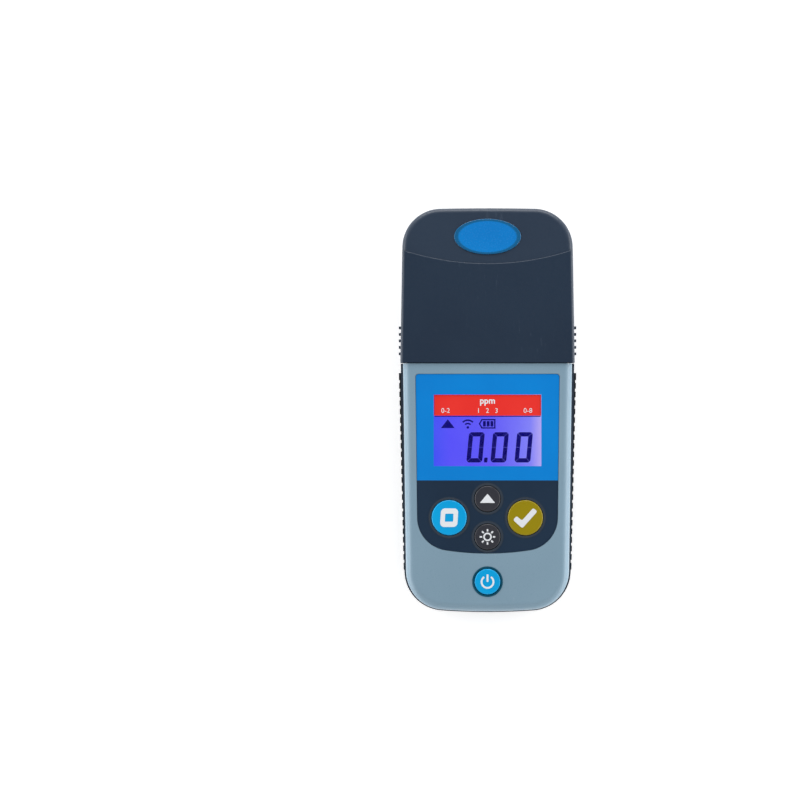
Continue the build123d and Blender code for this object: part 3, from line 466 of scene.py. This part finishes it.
# Instrument cap: a deep slate moulding that slides over the neck and keeps light out.
# Its end falls away behind a curved crease, and five ribs on each side give a hold.
slate_cap = moulded_plastic(
    "slate_cap",
    srgb(34, 49, 68),
    srgb(39, 55, 74),
    roughness=0.36,
    grain=2400.0,
    depth=0.00003,
    rub=0.3,
    rub_colour=srgb(96, 110, 128),
)
dress("instrument_cap", slate_cap)


# Cap badge: a bare blue oval plate pressed into the cap's end.
# It is a glossy printed disc, with a deeper blue along its moulded rim.
def flat_distance(tree, place):
    """Distance of a place from the origin, seen from above."""
    flat = add_node(tree, "ShaderNodeVectorMath", operation="MULTIPLY")
    flat.inputs[1].default_value = (1, 1, 0)
    tree.links.new(place, flat.inputs[0])
    length = add_node(tree, "ShaderNodeVectorMath", operation="LENGTH")
    tree.links.new(flat.outputs[0], length.inputs[0])
    return length.outputs["Value"]


badge_finish, badge_tree, badge_shader = new_finish("badge_blue")
badge_skin = place_group(
    badge_tree,
    grain_group,
    Colour=srgb(0, 116, 194),
    Drift_colour=srgb(0, 126, 204),
    Drift=0.8,
    Roughness=0.25,
    Grain_per_metre=1500.0,
)
badge_place = add_node(badge_tree, "ShaderNodeTexCoord")
badge_shift = add_node(badge_tree, "ShaderNodeMapping")
badge_low, badge_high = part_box("cap_badge")
badge_middle = (badge_low + badge_high) / 2
badge_size = badge_high - badge_low
badge_shift.vector_type = "TEXTURE"
badge_shift.inputs["Location"].default_value = badge_middle
badge_shift.inputs["Scale"].default_value = (badge_size.x / 2, badge_size.y / 2, 1)
badge_tree.links.new(badge_place.outputs["Object"], badge_shift.inputs["Vector"])
badge_radius = flat_distance(badge_tree, badge_shift.outputs[0])
rim_starts = 0.84
rim_full = 0.90
rim_mask = map_range(badge_tree, badge_radius, rim_starts, rim_full)
badge_tree.links.new(
    mix_colours(badge_tree, rim_mask, badge_skin.outputs["Colour"], srgb(6, 92, 140)),
    badge_shader.inputs["Base Color"],
)
badge_tree.links.new(badge_skin.outputs["Roughness"], badge_shader.inputs["Roughness"])
badge_shader.inputs["Coat Weight"].default_value = 0.5
badge_shader.inputs["Coat Roughness"].default_value = 0.08
add_bump(badge_tree, badge_skin.outputs["Height"], badge_shader, depth=0.000001)
dress("cap_badge", badge_finish)


# Label film: one polyester sheet printed on its underside and bonded into a recess.
# It is bright blue round the display and dark slate round the keys; its embossed
# ring round each key is a paler grey, partly its own tone and partly a painted highlight.
blue_print = srgb(0, 130, 216)
slate_print = srgb(28, 47, 68)
print_border_y = -26.8 * mm
print_border_blur = 0.12 * mm
film_finish, film_tree, film_shader = new_finish("label_film")
film_skin = place_group(
    film_tree,
    grain_group,
    Colour=blue_print,
    Drift_colour=srgb(0, 136, 222),
    Drift=0.9,
    Roughness=0.34,
    Grain_per_metre=3500.0,
)
slate_skin = place_group(
    film_tree,
    grain_group,
    Colour=slate_print,
    Drift_colour=srgb(32, 52, 74),
    Drift=0.8,
    Roughness=0.36,
    Grain_per_metre=3500.0,
)
film_place = add_node(film_tree, "ShaderNodeTexCoord")
film_axes = add_node(film_tree, "ShaderNodeSeparateXYZ")
film_tree.links.new(film_place.outputs["Object"], film_axes.inputs[0])
blue_mask = map_range(
    film_tree,
    film_axes.outputs["Y"],
    print_border_y - print_border_blur,
    print_border_y + print_border_blur,
)
film_print_and_ring_highlight = mix_colours(film_tree, blue_mask, slate_skin.outputs["Colour"], film_skin.outputs["Colour"])
# Painted highlight: the paler ring round each key is partly the ring's own grey, partly light on the
# embossed rim.
ring_reach = 0.55 * mm
ring_blur = 0.35 * mm
for key_name in ("key_zero", "key_read", "key_up", "key_light"):
    key_low, key_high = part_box(key_name)
    flange_r = (key_high.x - key_low.x) / 2
    key_centre = (key_low + key_high) / 2
    ring_offset = add_node(film_tree, "ShaderNodeVectorMath", operation="SUBTRACT")
    film_tree.links.new(film_place.outputs["Object"], ring_offset.inputs[0])
    ring_offset.inputs[1].default_value = key_centre
    ring_tone_and_highlight_mask = map_range(
        film_tree,
        flat_distance(film_tree, ring_offset.outputs[0]),
        flange_r + ring_reach,
        flange_r + ring_reach - ring_blur,
    )
    film_print_and_ring_highlight = mix_colours(film_tree, ring_tone_and_highlight_mask, film_print_and_ring_highlight, srgb(56, 66, 78))
film_tree.links.new(film_print_and_ring_highlight, film_shader.inputs["Base Color"])
film_tree.links.new(film_skin.outputs["Roughness"], film_shader.inputs["Roughness"])
add_bump(film_tree, film_skin.outputs["Height"], film_shader, depth=0.000006)
dress("keypad_overlay", film_finish)


# Display: a backlit liquid-crystal panel behind a clear window.
# The violet light is strongest on the left, and the panel pales towards the right.
panel_front_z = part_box("lcd_panel")[1].z
panel_lit_half = 20.8 * mm
panel_finish, panel_tree, panel_shader = new_finish("backlit_panel")
panel_place = add_node(panel_tree, "ShaderNodeTexCoord")
panel_axes = add_node(panel_tree, "ShaderNodeSeparateXYZ")
panel_tree.links.new(panel_place.outputs["Object"], panel_axes.inputs[0])
panel_share = map_range(panel_tree, panel_axes.outputs["X"], -panel_lit_half, panel_lit_half)
panel_ramp = add_node(panel_tree, "ShaderNodeValToRGB")
light_stops = panel_ramp.color_ramp.elements
light_stops[0].position = 0.0
light_stops[0].color = srgb(66, 82, 250)
light_stops[1].position = 1.0
light_stops[1].color = srgb(186, 174, 248)
violet_steps = (
    (0.16, srgb(86, 80, 253)),
    (0.55, srgb(100, 94, 252)),
    (0.78, srgb(120, 118, 252)),
    (0.90, srgb(134, 134, 252)),
)
for stop_place, stop_colour in violet_steps:
    light_stops.new(stop_place).color = stop_colour
panel_tree.links.new(panel_share, panel_ramp.inputs[0])
panel_cloud = add_node(panel_tree, "ShaderNodeTexNoise", Scale=90.0, Detail=1.0)
panel_tree.links.new(panel_place.outputs["Object"], panel_cloud.inputs["Vector"])
panel_glow = mix_colours(
    panel_tree,
    map_range(panel_tree, panel_cloud.outputs[0], noise_low, noise_high, to_high=0.10),
    panel_ramp.outputs[0],
    srgb(130, 120, 255),
)
panel_tree.links.new(panel_glow, panel_shader.inputs["Emission Color"])
panel_shader.inputs["Emission Strength"].default_value = 1.0
panel_tree.links.new(
    mix_colours(panel_tree, 0.97, panel_glow, (0.0, 0.0, 0.004, 1)),
    panel_shader.inputs["Base Color"],
)
panel_shader.inputs["Roughness"].default_value = 0.3
dress("lcd_panel", panel_finish)

guide_finish = even_finish(
    "milky_guide",
    srgb(222, 224, 228),
    srgb(205, 208, 215),
    share=0.6,
    roughness=0.35,
    grain=900.0,
)
dress("lcd_frame", guide_finish)

window_finish, window_tree, window_shader = new_finish("clear_window")
window_shader.inputs["Transmission Weight"].default_value = 1.0
window_shader.inputs["IOR"].default_value = 1.45
window_skin = place_group(
    window_tree,
    grain_group,
    Colour=(1, 1, 1, 1),
    Drift_colour=(0.97, 0.98, 1, 1),
    Drift=0.5,
    Grain_per_metre=300.0,
)
window_tree.links.new(window_skin.outputs["Colour"], window_shader.inputs["Base Color"])
window_shader.inputs["Roughness"].default_value = 0.0
dress("display_window", window_finish)


# Display image: dark segments and symbols that the panel switches on.
# The reading is three slanted figures with a point, under a marker, a signal
# symbol and a battery symbol. They lie on the panel's front face. A thin dark bar
# under the red strip is painted shadow.
def circle_points(x, y, radius, steps=48, start=0.0, sweep=2 * math.pi):
    """Points on a circle or an arc, in millimetres."""
    closed = abs(sweep - 2 * math.pi) < 1e-9
    count = steps if closed else steps + 1
    return [
        (
            x + radius * math.cos(start + sweep * i / steps),
            y + radius * math.sin(start + sweep * i / steps),
        )
        for i in range(count)
    ]


def arc_band(x, y, radius, width, start, sweep, steps=32):
    """Outline of a bent bar with square ends, in millimetres."""
    outer = circle_points(x, y, radius + width / 2, steps, start, sweep)
    inner = circle_points(x, y, radius - width / 2, steps, start, sweep)
    return outer + inner[::-1]


def bar_between(first, second, width):
    """Outline of a straight bar with square ends, in millimetres."""
    first, second = Vector(first), Vector(second)
    along = second - first
    across = Vector((-along.y, along.x)).normalized() * width / 2
    corners = (first + across, first - across, second - across, second + across)
    return [tuple(corner) for corner in corners]


def soften(points, radius, steps=4):
    """The same outline with each corner turned on a small curve."""
    soft = []
    for i, corner in enumerate(points):
        here = Vector(corner)
        back = Vector(points[i - 1]) - here
        ahead = Vector(points[(i + 1) % len(points)]) - here
        reach = min(radius, back.length / 2, ahead.length / 2)
        start = here + back.normalized() * reach
        end = here + ahead.normalized() * reach
        for step in range(steps + 1):
            share = step / steps
            point = start * (1 - share) ** 2 + here * 2 * share * (1 - share) + end * share**2
            soft.append(tuple(point))
    return soft


def bent_stroke(first, bend, last, width):
    """Outline of a two-armed stroke with a mitred bend, in millimetres."""
    first, bend, last = Vector(first), Vector(bend), Vector(last)
    arm, other_arm = (bend - first).normalized(), (last - bend).normalized()
    side = Vector((-arm.y, arm.x))
    other_side = Vector((-other_arm.y, other_arm.x))
    mitre = (side + other_side).normalized()
    mitre *= width / 2 / mitre.dot(side)
    side, other_side = side * width / 2, other_side * width / 2
    corners = (first + side, bend + mitre, last + other_side, last - other_side, bend - mitre, first - side)
    return [tuple(corner) for corner in corners]


def rounded_box(x, y, width, height, radius, steps=8):
    """Outline of a rectangle with round corners, in millimetres."""
    points = []
    corners = ((1, 1, 0.0), (-1, 1, 0.5), (-1, -1, 1.0), (1, -1, 1.5))
    for side_x, side_y, turn in corners:
        centre_x = x + side_x * (width / 2 - radius)
        centre_y = y + side_y * (height / 2 - radius)
        points += circle_points(centre_x, centre_y, radius, steps, turn * math.pi, math.pi / 2)
    return points


def piece_from(curve, name, place, finish):
    """Turns a drawn curve into a mesh piece at its place in metres."""
    drawn = bpy.data.objects.new(name + "_drawn", curve)
    bpy.context.scene.collection.objects.link(drawn)
    bpy.context.view_layer.update()
    depsgraph = bpy.context.evaluated_depsgraph_get()
    mesh = bpy.data.meshes.new_from_object(drawn.evaluated_get(depsgraph))
    bpy.data.objects.remove(drawn)
    bpy.data.curves.remove(curve)
    mesh.name = name
    mesh.transform(Matrix.Translation(place))
    mesh.materials.clear()
    mesh.materials.append(finish)
    piece = bpy.data.objects.new(name, mesh)
    bpy.context.scene.collection.objects.link(piece)
    return piece


def cut_shape(name, loops, base_z, thickness, finish, body):
    """A flat piece cut to closed loops in millimetres; inner loops are holes."""
    outline = bpy.data.curves.new(name, "CURVE")
    outline.dimensions = "2D"
    outline.fill_mode = "BOTH"
    outline.extrude = thickness / 2 * mm
    for points in loops:
        spline = outline.splines.new("POLY")
        spline.points.add(len(points) - 1)
        for point, (x, y) in zip(spline.points, points):
            point.co = (x * mm, y * mm, 0, 1)
        spline.use_cyclic_u = True
    piece = piece_from(outline, name, (0, 0, (base_z + thickness / 2) * mm), finish)
    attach(piece, body)


# The same dark finish serves the segments and the painted shadow bar under the red strip.
segment_and_shadow_finish, segment_and_shadow_tree, segment_and_shadow_shader = new_finish("dark_segments_and_strip_shadow")
segment_and_shadow_skin = place_group(
    segment_and_shadow_tree,
    grain_group,
    Colour=srgb(6, 0, 92),
    Drift_colour=srgb(0, 0, 116),
    Drift=0.8,
    Roughness=0.3,
    Grain_per_metre=400.0,
)
show_skin(segment_and_shadow_tree, segment_and_shadow_skin, segment_and_shadow_shader)
# Painted backlight: the segments glow faintly in their own dark blue, standing for panel light that shows
# through them.
segment_and_shadow_tree.links.new(segment_and_shadow_skin.outputs["Colour"], segment_and_shadow_shader.inputs["Emission Color"])
segment_and_shadow_shader.inputs["Emission Strength"].default_value = 0.85

figure_slant = math.tan(math.radians(5.3))
figure_width = 6.1
figure_height = 11.7
figure_low_y = -19.9
figure_places = (-8.2, 1.1, 10.4)
figure_corner_r = 1.2
stroke = 1.65
stroke_gap = 0.04
mitre_angle = math.radians(45)
mitre_clear = math.radians(2)
segment_and_shadow_z = panel_front_z / mm
segment_and_shadow_t = 0.05


def slanted(points, base_x):
    """Leans a figure's points to the right and moves them to base_x."""
    return [(base_x + x + y * figure_slant, figure_low_y + y) for x, y in points]


def corner_curve(first, last, steps=5):
    """Points on a figure's round outer corner, as distances in from its two edges."""
    angles = [first + (last - first) * i / steps for i in range(steps + 1)]
    return [(figure_corner_r * (1 - math.cos(a)), figure_corner_r * (1 - math.sin(a))) for a in angles]


def mirrored(point, side_x, side_y):
    """A point given as distances in from one outer corner, in the figure's own frame."""
    x = figure_width / 2 * (1 + side_x) - side_x * point[0]
    y = figure_height / 2 * (1 + side_y) - side_y * point[1]
    return x, y


def upright_bar(side_x, side_y):
    """One of a figure's four upright bars, mitred at its outer end."""
    middle = figure_height / 2 - stroke_gap
    inner_edge = [(stroke, stroke + stroke_gap), (stroke, middle)]
    bar = [(0, middle)] + corner_curve(0, mitre_angle - mitre_clear) + inner_edge
    return [mirrored(point, side_x, side_y) for point in bar]


def level_bar(side_y):
    """A figure's top or bottom bar, mitred at both ends."""
    half = [(stroke + stroke_gap, stroke)] + corner_curve(mitre_angle + mitre_clear, math.radians(90))
    left = [mirrored(point, -1, side_y) for point in half]
    right = [mirrored(point, 1, side_y) for point in half]
    return left + right[::-1]


figure_loops = []
for figure_x in figure_places:
    for side_y in (1, -1):
        figure_loops.append(slanted(level_bar(side_y), figure_x))
        for side_x in (1, -1):
            figure_loops.append(slanted(upright_bar(side_x, side_y), figure_x))
point_x = 7.45
point_width = 1.35
point_height = 1.9
point_outline = rounded_box(point_x, point_height / 2, point_width, point_height, radius=0.35)
figure_loops.append(slanted(point_outline, figure_places[0]))
cut_shape("display_figures", figure_loops, segment_and_shadow_z, segment_and_shadow_t, segment_and_shadow_finish, "meter")

marker_outline = [(-18.0, -6.6), (-12.7, -6.6), (-15.35, -3.2)]
marker_corner_r = 0.2
signal_foot = (-7.6, -6.35)
signal_dot_r = 0.5
signal_radii = (1.5, 2.8)
signal_stroke = 0.6
signal_start = math.radians(45)
signal_sweep = math.radians(90)
charge_y = -4.95
charge_frame = [(-3.4, charge_y), (-2.3, -3.1), (3.1, -3.1), (3.1, -6.8), (-2.3, -6.8)]
charge_room = [(-2.8, charge_y), (-1.98, -3.6), (2.55, -3.6), (2.55, -6.3), (-1.98, -6.3)]
charge_bar_places = (-1.2, 0.25, 1.7)
charge_bar_width = 1.1
charge_bar_height = 2.1
# Painted shadow: a thin dark bar along the red strip's lower edge, where the strip shades the panel.
strip_shadow_y = -2.05
strip_shadow_length = 41.0
strip_shadow_width = 0.35
symbol_and_shadow_loops = [soften(marker_outline, marker_corner_r)]
symbol_and_shadow_loops.append(circle_points(*signal_foot, signal_dot_r, steps=20))
for signal_r in signal_radii:
    symbol_and_shadow_loops.append(arc_band(*signal_foot, signal_r, signal_stroke, signal_start, signal_sweep))
symbol_and_shadow_loops += [charge_frame, charge_room]
for bar_x in charge_bar_places:
    symbol_and_shadow_loops.append(rounded_box(bar_x, charge_y, charge_bar_width, charge_bar_height, radius=0.15))
symbol_and_shadow_loops.append(rounded_box(0.0, strip_shadow_y, strip_shadow_length, strip_shadow_width, radius=0.1))
cut_shape("display_symbols_and_strip_shadow", symbol_and_shadow_loops, segment_and_shadow_z, segment_and_shadow_t, segment_and_shadow_finish, "meter")


# Range strip: a red printed slip on the upper part of the window.
# It carries only plain white figures and a unit, which are screen printed on it.
strip_finish = even_finish(
    "red_strip",
    srgb(238, 44, 40),
    srgb(246, 58, 48),
    share=0.8,
    roughness=0.35,
    grain=3000.0,
    depth=0.000005,
)
dress("parameter_label", strip_finish)

white_finish = even_finish(
    "white_print",
    srgb(240, 243, 247),
    srgb(228, 232, 238),
    share=0.6,
    roughness=0.4,
    grain=4000.0,
    depth=0.000004,
)

print_half_t = 0.02 * mm
print_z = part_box("parameter_label")[1].z + print_half_t


def printed_words(name, words, x, y, size, heavier=0.0):
    """A line of white lettering on the strip, centred at a place in millimetres."""
    line = bpy.data.curves.new(name, "FONT")
    line.body = words
    line.size = size * mm
    line.align_x = "CENTER"
    line.align_y = "CENTER"
    line.extrude = print_half_t
    line.offset = heavier * mm
    piece = piece_from(line, name, (x * mm, y * mm, print_z), white_finish)
    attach(piece, "meter")


unit_y = 3.9
unit_size = 3.4
range_y = 0.1
range_size = 2.6
low_range_x = -16.2
high_range_x = 15.6
printed_words("strip_unit", "ppm", 0.0, unit_y, unit_size, heavier=0.08)
printed_words("strip_low_range", "0-2", low_range_x, range_y, range_size)
printed_words("strip_high_range", "0-8", high_range_x, range_y, range_size)
printed_words("strip_scale", "1   2   3", 0.0, range_y, range_size)


# Keys: round polycarbonate buttons that come up through the film.
# Each is printed with a white sign, and sinks a little under a finger.
def key_plastic(name, colour, drift):
    """Soft gloss key with a fine matt skin."""
    return moulded_plastic(
        name,
        colour,
        drift,
        roughness=0.33,
        grain=3800.0,
        depth=0.000006,
        rub=0.4,
        rub_colour=drift,
        share=0.8,
    )


blue_key = key_plastic("blue_key", srgb(0, 164, 228), srgb(10, 176, 238))
olive_key = key_plastic("olive_key", srgb(148, 130, 4), srgb(158, 140, 10))
dark_key = key_plastic("dark_key", srgb(50, 52, 60), srgb(60, 60, 66))
dress("key_zero", blue_key)
dress("key_power", blue_key)
dress("key_read", olive_key)
dress("key_up", dark_key)
dress("key_light", dark_key)


def key_middle(node_name):
    """Middle of a key and its top, in millimetres."""
    low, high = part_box(node_name)
    return (low.x + high.x) / 2 / mm, (low.y + high.y) / 2 / mm, high.z / mm


sign_t = 0.06
zero_slant = 0.06


def leaned(points, middle_y):
    """Leans a sign's points a little to the right about its middle height."""
    return [(x + (y - middle_y) * zero_slant, y) for x, y in points]


def around(middle_x, middle_y, offsets):
    """A sign's points, from their offsets about its middle."""
    return [(middle_x + x, middle_y + y) for x, y in offsets]


zero_x, zero_y, key_top = key_middle("key_zero")
zero_size = (6.7, 7.2)
zero_hole = (3.2, 3.1)
zero_loops = [
    leaned(rounded_box(zero_x, zero_y, *zero_size, radius=1.6), zero_y),
    leaned(rounded_box(zero_x, zero_y, *zero_hole, radius=0.3), zero_y),
]
cut_shape("zero_sign", zero_loops, key_top, sign_t, white_finish, "zero_button")

read_x, read_y, key_top = key_middle("key_read")
tick_width = 2.1
tick_corner_r = 0.75
tick_ends = around(read_x, read_y, ((-4.05, -0.1), (-1.25, -2.6), (3.85, 3.1)))
tick_loops = [soften(bent_stroke(*tick_ends, tick_width), tick_corner_r)]
cut_shape("read_sign", tick_loops, key_top, sign_t, white_finish, "read_button")

up_x, up_y, key_top = key_middle("key_up")
arrow_corner_r = 0.3
arrow_corners = around(up_x, up_y, ((-2.95, -1.6), (2.95, -1.6), (0.0, 1.95)))
arrow_loops = [soften(arrow_corners, arrow_corner_r)]
cut_shape("up_sign", arrow_loops, key_top, sign_t, white_finish, "up_button")

light_x, light_y, key_top = key_middle("key_light")
lamp_radii = (1.65, 1.05)
ray_count = 8
ray_reach = (2.05, 3.0)
ray_width = 0.62
lamp_loops = [circle_points(light_x, light_y, lamp_r, steps=40) for lamp_r in lamp_radii]
for ray in range(ray_count):
    ray_angle = ray * 2 * math.pi / ray_count
    ray_heading = Vector((math.cos(ray_angle), math.sin(ray_angle)))
    ray_start, ray_end = (Vector((light_x, light_y)) + ray_heading * reach for reach in ray_reach)
    lamp_loops.append(bar_between(ray_start, ray_end, ray_width))
cut_shape("light_sign", lamp_loops, key_top, sign_t, white_finish, "light_button")

power_x, power_y, key_top = key_middle("key_power")
power_arc_r = 2.3
power_arc_width = 0.72
power_arc_start = math.radians(125)
power_arc_sweep = math.radians(290)
power_arc_y = power_y - 0.1
power_bar_y = power_y + 1.35
power_bar_size = (0.75, 2.9)
power_loops = [
    arc_band(power_x, power_arc_y, power_arc_r, power_arc_width, power_arc_start, power_arc_sweep),
    rounded_box(power_x, power_bar_y, *power_bar_size, radius=0.2),
]
cut_shape("power_sign", power_loops, key_top, sign_t, white_finish, "power_button")


# Power key's bezel: a dark petrol ring pressed into the grey shell.
# It is moulded in the keys' plastic, and guards the key from a stray touch.
ring_finish = key_plastic("petrol_ring", srgb(6, 74, 98), srgb(14, 88, 112))
dress("power_key_ring", ring_finish)


# Cell compartment: the black moulding under the cap, with its light collar and well.
# Black and dull inside and out, so that no stray light reaches the detector.
black_moulding = moulded_plastic(
    "black_moulding",
    srgb(24, 25, 27),
    srgb(30, 31, 34),
    roughness=0.58,
    grain=2600.0,
    depth=0.00004,
    rub=0.25,
    rub_colour=srgb(62, 64, 68),
)
dress("cell_compartment", black_moulding)


# Light path: a lamp on one side of the well, and two windows into the well.
# The windows are polished glass and the lamp is cast in clear epoxy.
def clear_part(name, tint, roughness):
    """Clear glass or epoxy with a faint cloud in it."""
    finish, tree, shader = new_finish(name)
    skin = place_group(
        tree,
        grain_group,
        Colour=tint,
        Drift_colour=(0.9, 0.94, 0.96, 1),
        Drift=0.4,
        Grain_per_metre=600.0,
    )
    tree.links.new(skin.outputs["Colour"], shader.inputs["Base Color"])
    shader.inputs["Transmission Weight"].default_value = 0.9
    shader.inputs["IOR"].default_value = 1.5
    shader.inputs["Roughness"].default_value = roughness
    return finish


dress("cell_windows", clear_part("window_glass", (0.95, 0.98, 1, 1), roughness=0.06))
dress("led_lamp", clear_part("lamp_epoxy", (0.93, 0.97, 1, 1), roughness=0.12))


# Detector, filter and contacts: a plated can, a coated disc and stamped nickel springs.
# Metal is turned, stamped or plated here, with fine brushing and a dull bloom.
metal_group, metal_in, metal_out = shader_group(
    "brushed_metal",
    [
        ("Colour", "NodeSocketColor", (0.6, 0.6, 0.6, 1)),
        ("Bloom colour", "NodeSocketColor", (0.5, 0.5, 0.5, 1)),
        ("Roughness", "NodeSocketFloat", 0.3),
    ],
    [
        ("Colour", "NodeSocketColor"),
        ("Roughness", "NodeSocketFloat"),
        ("Height", "NodeSocketFloat"),
    ],
)
metal_place = add_node(metal_group, "ShaderNodeTexCoord")
metal_stretch = add_node(metal_group, "ShaderNodeMapping")
brushing_per_metre = (400, 9000, 3000)
metal_stretch.inputs["Scale"].default_value = brushing_per_metre
metal_group.links.new(metal_place.outputs["Object"], metal_stretch.inputs["Vector"])
metal_lines = add_node(metal_group, "ShaderNodeTexNoise", Scale=1.0, Detail=3.0)
metal_group.links.new(metal_stretch.outputs[0], metal_lines.inputs["Vector"])
bloom_per_metre = 350.0
metal_cloud = add_node(metal_group, "ShaderNodeTexNoise", Scale=bloom_per_metre, Detail=2.0)
metal_group.links.new(metal_place.outputs["Object"], metal_cloud.inputs["Vector"])
metal_group.links.new(
    mix_colours(
        metal_group,
        map_range(metal_group, metal_cloud.outputs[0], 0.4, 0.7),
        metal_in.outputs["Colour"],
        metal_in.outputs["Bloom colour"],
    ),
    metal_out.inputs["Colour"],
)
metal_group.links.new(
    arithmetic(
        metal_group,
        "ADD",
        metal_in.outputs["Roughness"],
        map_range(metal_group, metal_lines.outputs[0], noise_low, noise_high, -0.08, 0.1),
    ),
    metal_out.inputs["Roughness"],
)
metal_group.links.new(metal_lines.outputs[0], metal_out.inputs["Height"])


def bare_metal(name, colour, bloom, roughness):
    """A metal finish from the brushed metal group."""
    finish, tree, shader = new_finish(name)
    skin = place_group(tree, metal_group, Colour=colour, Bloom_colour=bloom, Roughness=roughness)
    show_skin(tree, skin, shader)
    shader.inputs["Metallic"].default_value = 1.0
    add_bump(tree, skin.outputs["Height"], shader, depth=0.000004)
    return finish


nickel = bare_metal("nickel_plate", srgb(200, 200, 196), srgb(176, 176, 170), roughness=0.28)
filter_coating = bare_metal("filter_coating", srgb(92, 150, 128), srgb(120, 110, 160), roughness=0.1)
dress("photodiode", nickel)
dress("interference_filter", filter_coating)
dress("battery_contacts", nickel)


# Circuit boards: glass-epoxy boards under green solder mask.
# The tracks show as slightly raised, slightly lighter lines under the mask.
def solder_mask(name):
    """Green mask over copper tracks."""
    finish, tree, shader = new_finish(name)
    place = add_node(tree, "ShaderNodeTexCoord")
    tracks = add_node(tree, "ShaderNodeTexBrick", Scale=260.0)
    tracks.inputs["Color1"].default_value = srgb(12, 92, 52)
    tracks.inputs["Color2"].default_value = srgb(10, 82, 46)
    tracks.inputs["Mortar"].default_value = srgb(30, 124, 74)
    tracks.inputs["Mortar Size"].default_value = 0.03
    tree.links.new(place.outputs["Object"], tracks.inputs["Vector"])
    tree.links.new(tracks.outputs["Color"], shader.inputs["Base Color"])
    skin = place_group(tree, grain_group, Roughness=0.3, Grain_per_metre=5000.0)
    tree.links.new(skin.outputs["Roughness"], shader.inputs["Roughness"])
    add_bump(tree, tracks.outputs["Fac"], shader, depth=0.00002)
    return finish


board_green = solder_mask("board_green")
dress("main_board", board_green)
dress("led_board", board_green)
dress("detector_board", board_green)


# Soldered parts and key switches: small black mouldings on the main board.
# The radio module beside them has a nickel can.
component_black = moulded_plastic(
    "component_black",
    srgb(26, 26, 28),
    srgb(34, 34, 36),
    roughness=0.45,
    grain=3000.0,
    depth=0.00002,
    rub=0.1,
    rub_colour=srgb(70, 70, 72),
)
dress("board_components", component_black)
dress("key_switches", component_black)
dress("radio_module", nickel)


# Screws and insert: zinc-plated steel screws, and the brass insert of the coin screw.
# The coin screw in the door stays in it when the door is lifted off.
zinc_steel = bare_metal("zinc_steel", srgb(178, 180, 184), srgb(150, 152, 158), roughness=0.32)
dress("board_screws", zinc_steel)
dress("housing_screws", zinc_steel)
dress("door_screw", zinc_steel)
insert_brass = bare_metal("insert_brass", srgb(205, 168, 92), srgb(176, 138, 70), roughness=0.3)
dress("screw_insert", insert_brass)


# Batteries: four small cells in plain printed sleeves, every second one turned round.
# A copper band marks the nub's end, and the steel can shows beyond the sleeve.
sleeve_finish, sleeve_tree, sleeve_shader = new_finish("cell_jacket")
sleeve_place = add_node(sleeve_tree, "ShaderNodeTexCoord")
sleeve_axes = add_node(sleeve_tree, "ShaderNodeSeparateXYZ")
sleeve_tree.links.new(sleeve_place.outputs["Object"], sleeve_axes.inputs[0])
cell_low, cell_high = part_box("batteries")
cell_count = 4
copper_from = 0.70
steel_from = 0.472
band_edge = 0.002
cell_across = map_range(sleeve_tree, sleeve_axes.outputs["X"], cell_low.x, cell_high.x, 0.0, cell_count)
cell_turned = arithmetic(sleeve_tree, "MODULO", arithmetic(sleeve_tree, "FLOOR", cell_across), 2.0)
cell_along = map_range(sleeve_tree, sleeve_axes.outputs["Y"], cell_low.y, cell_high.y)
past_base = arithmetic(sleeve_tree, "SUBTRACT", cell_along, cell_turned)
from_base = arithmetic(sleeve_tree, "ABSOLUTE", past_base)
past_middle = arithmetic(sleeve_tree, "SUBTRACT", from_base, 0.5)
from_middle = arithmetic(sleeve_tree, "ABSOLUTE", past_middle)
copper_mask = map_range(sleeve_tree, from_base, copper_from, copper_from + band_edge)
steel_mask = map_range(sleeve_tree, from_middle, steel_from, steel_from + band_edge)
sleeve_skin = place_group(
    sleeve_tree,
    metal_group,
    Colour=srgb(34, 36, 40),
    Bloom_colour=srgb(44, 46, 52),
    Roughness=0.3,
)
copper_print = srgb(186, 120, 60)
can_steel = srgb(196, 196, 192)
sleeve_colour = mix_colours(sleeve_tree, copper_mask, sleeve_skin.outputs["Colour"], copper_print)
sleeve_tree.links.new(
    mix_colours(sleeve_tree, steel_mask, sleeve_colour, can_steel),
    sleeve_shader.inputs["Base Color"],
)
sleeve_tree.links.new(sleeve_skin.outputs["Roughness"], sleeve_shader.inputs["Roughness"])
sleeve_shader.inputs["Metallic"].default_value = 0.6
add_bump(sleeve_tree, sleeve_skin.outputs["Height"], sleeve_shader, depth=0.000003)
dress("batteries", sleeve_finish)
